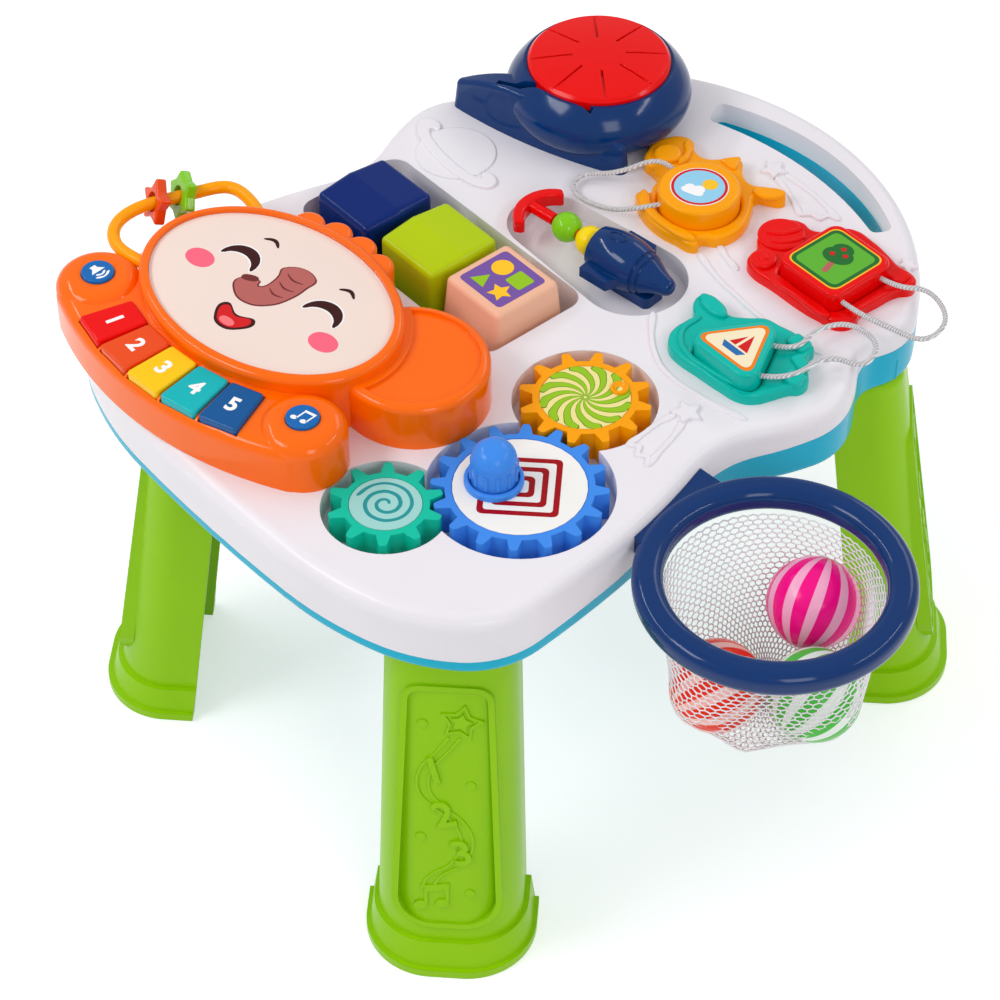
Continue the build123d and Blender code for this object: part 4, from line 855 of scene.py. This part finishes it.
# Net bag: six-sided loops from the hoop down around the balls, with a slack fold and a gathered end.
# Its fall is the hull of the hoop's ring, the balls and two small bulges of slack
ball_room = 0.5
slack = ((22, -37, -97, 9), (4, -8, -98, 8))
centre = spot(*hoop_place, hoop_low)
bpy.ops.mesh.primitive_circle_add(vertices=64, radius=net_top_radius * mm, location=centre)
hull = bpy.context.object
supports = [hull]
held = [(hoop_place[0] + x, hoop_place[1] + y, height, radius) for x, y, height, radius in slack]
held += [(*ball_centre(name), ball_radius + ball_room) for name in ball_places]
for x, y, height, radius in held:
    bpy.ops.mesh.primitive_uv_sphere_add(
        segments=32, ring_count=16, radius=radius * mm, location=spot(x, y, height)
    )
    supports.append(bpy.context.object)
for support in supports:
    only(support)
    bpy.ops.object.transform_apply(location=True, rotation=True, scale=True)
deselect()
for support in supports:
    support.select_set(True)
bpy.context.view_layer.objects.active = hull
bpy.ops.object.join()
bpy.ops.object.mode_set(mode="EDIT")
bpy.ops.mesh.select_all(action="SELECT")
bpy.ops.mesh.convex_hull()
bpy.ops.object.mode_set(mode="OBJECT")

cells_around = 66
cell_rows = 32
loop_bend = 0.36
end_radius = 3.2
strand_thick = 1.1
# How far the strands lie inside the hull, and how much that sways
strand_inset = 0.9
fall_steps = 60
fall_drop = 0.0002


def net_fall(at):
    """Points down the hull at a turn, from the hoop to the gathered end, with the length run so far."""
    run = [(0, centre + Vector((math.cos(at), math.sin(at), 0)) * net_top_radius * mm)]
    start = centre - Vector((0, 0, fall_drop))
    for step in range(1, fall_steps):
        down = math.radians(90 * step / fall_steps)
        ray = Vector((math.cos(at) * math.cos(down), math.sin(at) * math.cos(down), -math.sin(down)))
        hit, place, normal, index = hull.ray_cast(start, ray)
        reach = (place - centre).to_2d().length
        if hit and reach > end_radius * mm:
            run.append((run[-1][0] + (place - run[-1][1]).length, place))
    return run


def along(run, share):
    """The point at a share of a run's length."""
    goal = run[-1][0] * min(max(share, 0), 1)
    for (low, start), (high, end) in zip(run, run[1:]):
        if goal <= high:
            return start.lerp(end, (goal - low) / (high - low))
    return run[-1][1]


columns = 2 * cells_around
falls = [net_fall(2 * math.pi * step / columns) for step in range(columns)]
vertices = []
for row in range(cell_rows + 1):
    for step in range(columns):
        share = (row + (loop_bend if (step + row) % 2 else 0)) / (cell_rows + loop_bend)
        place = along(falls[step], share)
        inward = (centre - place).normalized()
        sway = strand_inset * math.sin(step * 0.31 + row * 0.4) * math.sin(math.pi * share)
        vertices.append(place + inward * (strand_inset + sway) * mm)
# A loop's six corners: three on its own row, then three back along the next
loop = ((0, 0), (0, 1), (0, 2), (1, 2), (1, 1), (1, 0))
faces = []
for row in range(cell_rows):
    for step in range(columns):
        if (step + row) % 2:
            faces.append([(row + down) * columns + (step + side) % columns for down, side in loop])
mesh = bpy.data.meshes.new("net")
mesh.from_pydata(vertices, [], faces)
net = bpy.data.objects.new("net", mesh)
bpy.context.scene.collection.objects.link(net)
bpy.data.objects.remove(hull)
only(net)
strands = net.modifiers.new("strands", "WIREFRAME")
strands.thickness = strand_thick * mm
strands.use_boundary = True
strands.use_even_offset = False
bpy.ops.object.modifier_apply(modifier="strands")
net.name = "net"
net.data.materials.clear()
net.data.materials.append(finish("net_thread", colour(252, 248, 252), 0.5, 0.1))
smooth_lit(net, 60)
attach(net, "table")
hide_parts("net_bag")

# Laces' finish: white braid, with painted shade in the grooves of its weave
braid = finish("lace_braid", colour(250, 248, 246), 0.7, 0.0)
tree = braid.node_tree
shader = tree.nodes["Principled BSDF"]
place = shader_node(tree, "TexCoord")
weave = shader_node(tree, "TexWave", {"Scale": 210, "Distortion": 2, "Detail": 1})
tree.links.new(place.outputs["Object"], weave.inputs["Vector"])
bump = shader_node(tree, "Bump", {"Strength": 0.8, "Distance": 0.0012})
tree.links.new(weave.outputs["Fac"], bump.inputs["Height"])
tree.links.new(bump.outputs["Normal"], shader.inputs["Normal"])
# Where the weave's bump sinks, the braid is painted darker: painted shade in the grooves between its strands
braid_with_groove_shade = colour_mix(tree, weave.outputs["Fac"], colour(196, 194, 200), colour(252, 250, 250))
tree.links.new(braid_with_groove_shade, shader.inputs["Base Color"])
for lace in laces:
    lace.data.materials.append(braid)


# Pale floor and plain studio light
def seen_by(tree, ray):
    """One for a camera ray and for one other kind of ray, else zero."""
    path = shader_node(tree, "LightPath")
    seen = math_node(tree, "MAXIMUM")
    tree.links.new(path.outputs["Is Camera Ray"], seen.inputs[0])
    tree.links.new(path.outputs[ray], seen.inputs[1])
    return seen.outputs["Value"]


bpy.ops.mesh.primitive_plane_add(size=12, location=(0, 0, -0.3 * mm))
floor = bpy.context.object
floor.name = "floor"
ground = bpy.data.materials.new("pale_floor")
ground.use_nodes = True
tree = ground.node_tree
tree.nodes.clear()
diffuse = shader_node(tree, "BsdfDiffuse", {"Color": (0.8, 0.8, 0.8, 1)})
glow = shader_node(tree, "Emission", {"Color": (1, 1, 1, 1)})
level = math_node(tree, "MULTIPLY", {1: 0.45})
tree.links.new(seen_by(tree, "Is Glossy Ray"), level.inputs[0])
tree.links.new(level.outputs["Value"], glow.inputs["Strength"])
both = shader_node(tree, "AddShader")
tree.links.new(diffuse.outputs["BSDF"], both.inputs[0])
tree.links.new(glow.outputs["Emission"], both.inputs[1])
surface = shader_node(tree, "OutputMaterial")
tree.links.new(both.outputs["Shader"], surface.inputs["Surface"])
floor.data.materials.append(ground)

world = bpy.data.worlds.new("studio")
world.use_nodes = True
tree = world.node_tree
background = tree.nodes["Background"]
background.inputs["Color"].default_value = (1, 1, 1, 1)
level = shader_node(tree, "MapRange", {"To Min": 0.58, "To Max": 1.0})
tree.links.new(seen_by(tree, "Is Transmission Ray"), level.inputs["Value"])
tree.links.new(level.outputs["Result"], background.inputs["Strength"])
bpy.context.scene.world = world

# Each lamp has its place, the point it shines on, its size and its power
lamps = {
    "key_lamp": ((-0.6, -1.6, 1.9), (0, 0, 0.25), (0.9, 0.6), 13),
    "fill_lamp": ((1.8, -0.8, 1.4), (0, 0, 0.25), (0.7, 0.9), 8),
    "back_lamp": ((-0.4, 1.8, 1.6), (0, 0, 0.3), (1.2, 0.5), 4),
    "left_strip": ((-1.2, -0.7, 1.5), (0, 0, 0.3), (1.3, 0.04), 5),
    "right_strip": ((1.1, 1.0, 1.5), (0, 0, 0.3), (1.3, 0.04), 4),
}
for name, (place, aim, size, power) in lamps.items():
    bpy.ops.object.light_add(type="AREA", location=place)
    light = bpy.context.object
    light.name = name
    light.data.shape = "RECTANGLE"
    light.data.size, light.data.size_y = size
    light.data.energy = power
    light.rotation_euler = (Vector(place) - Vector(aim)).to_track_quat("Z", "Y").to_euler()

bpy.context.scene.view_settings.view_transform = "Standard"
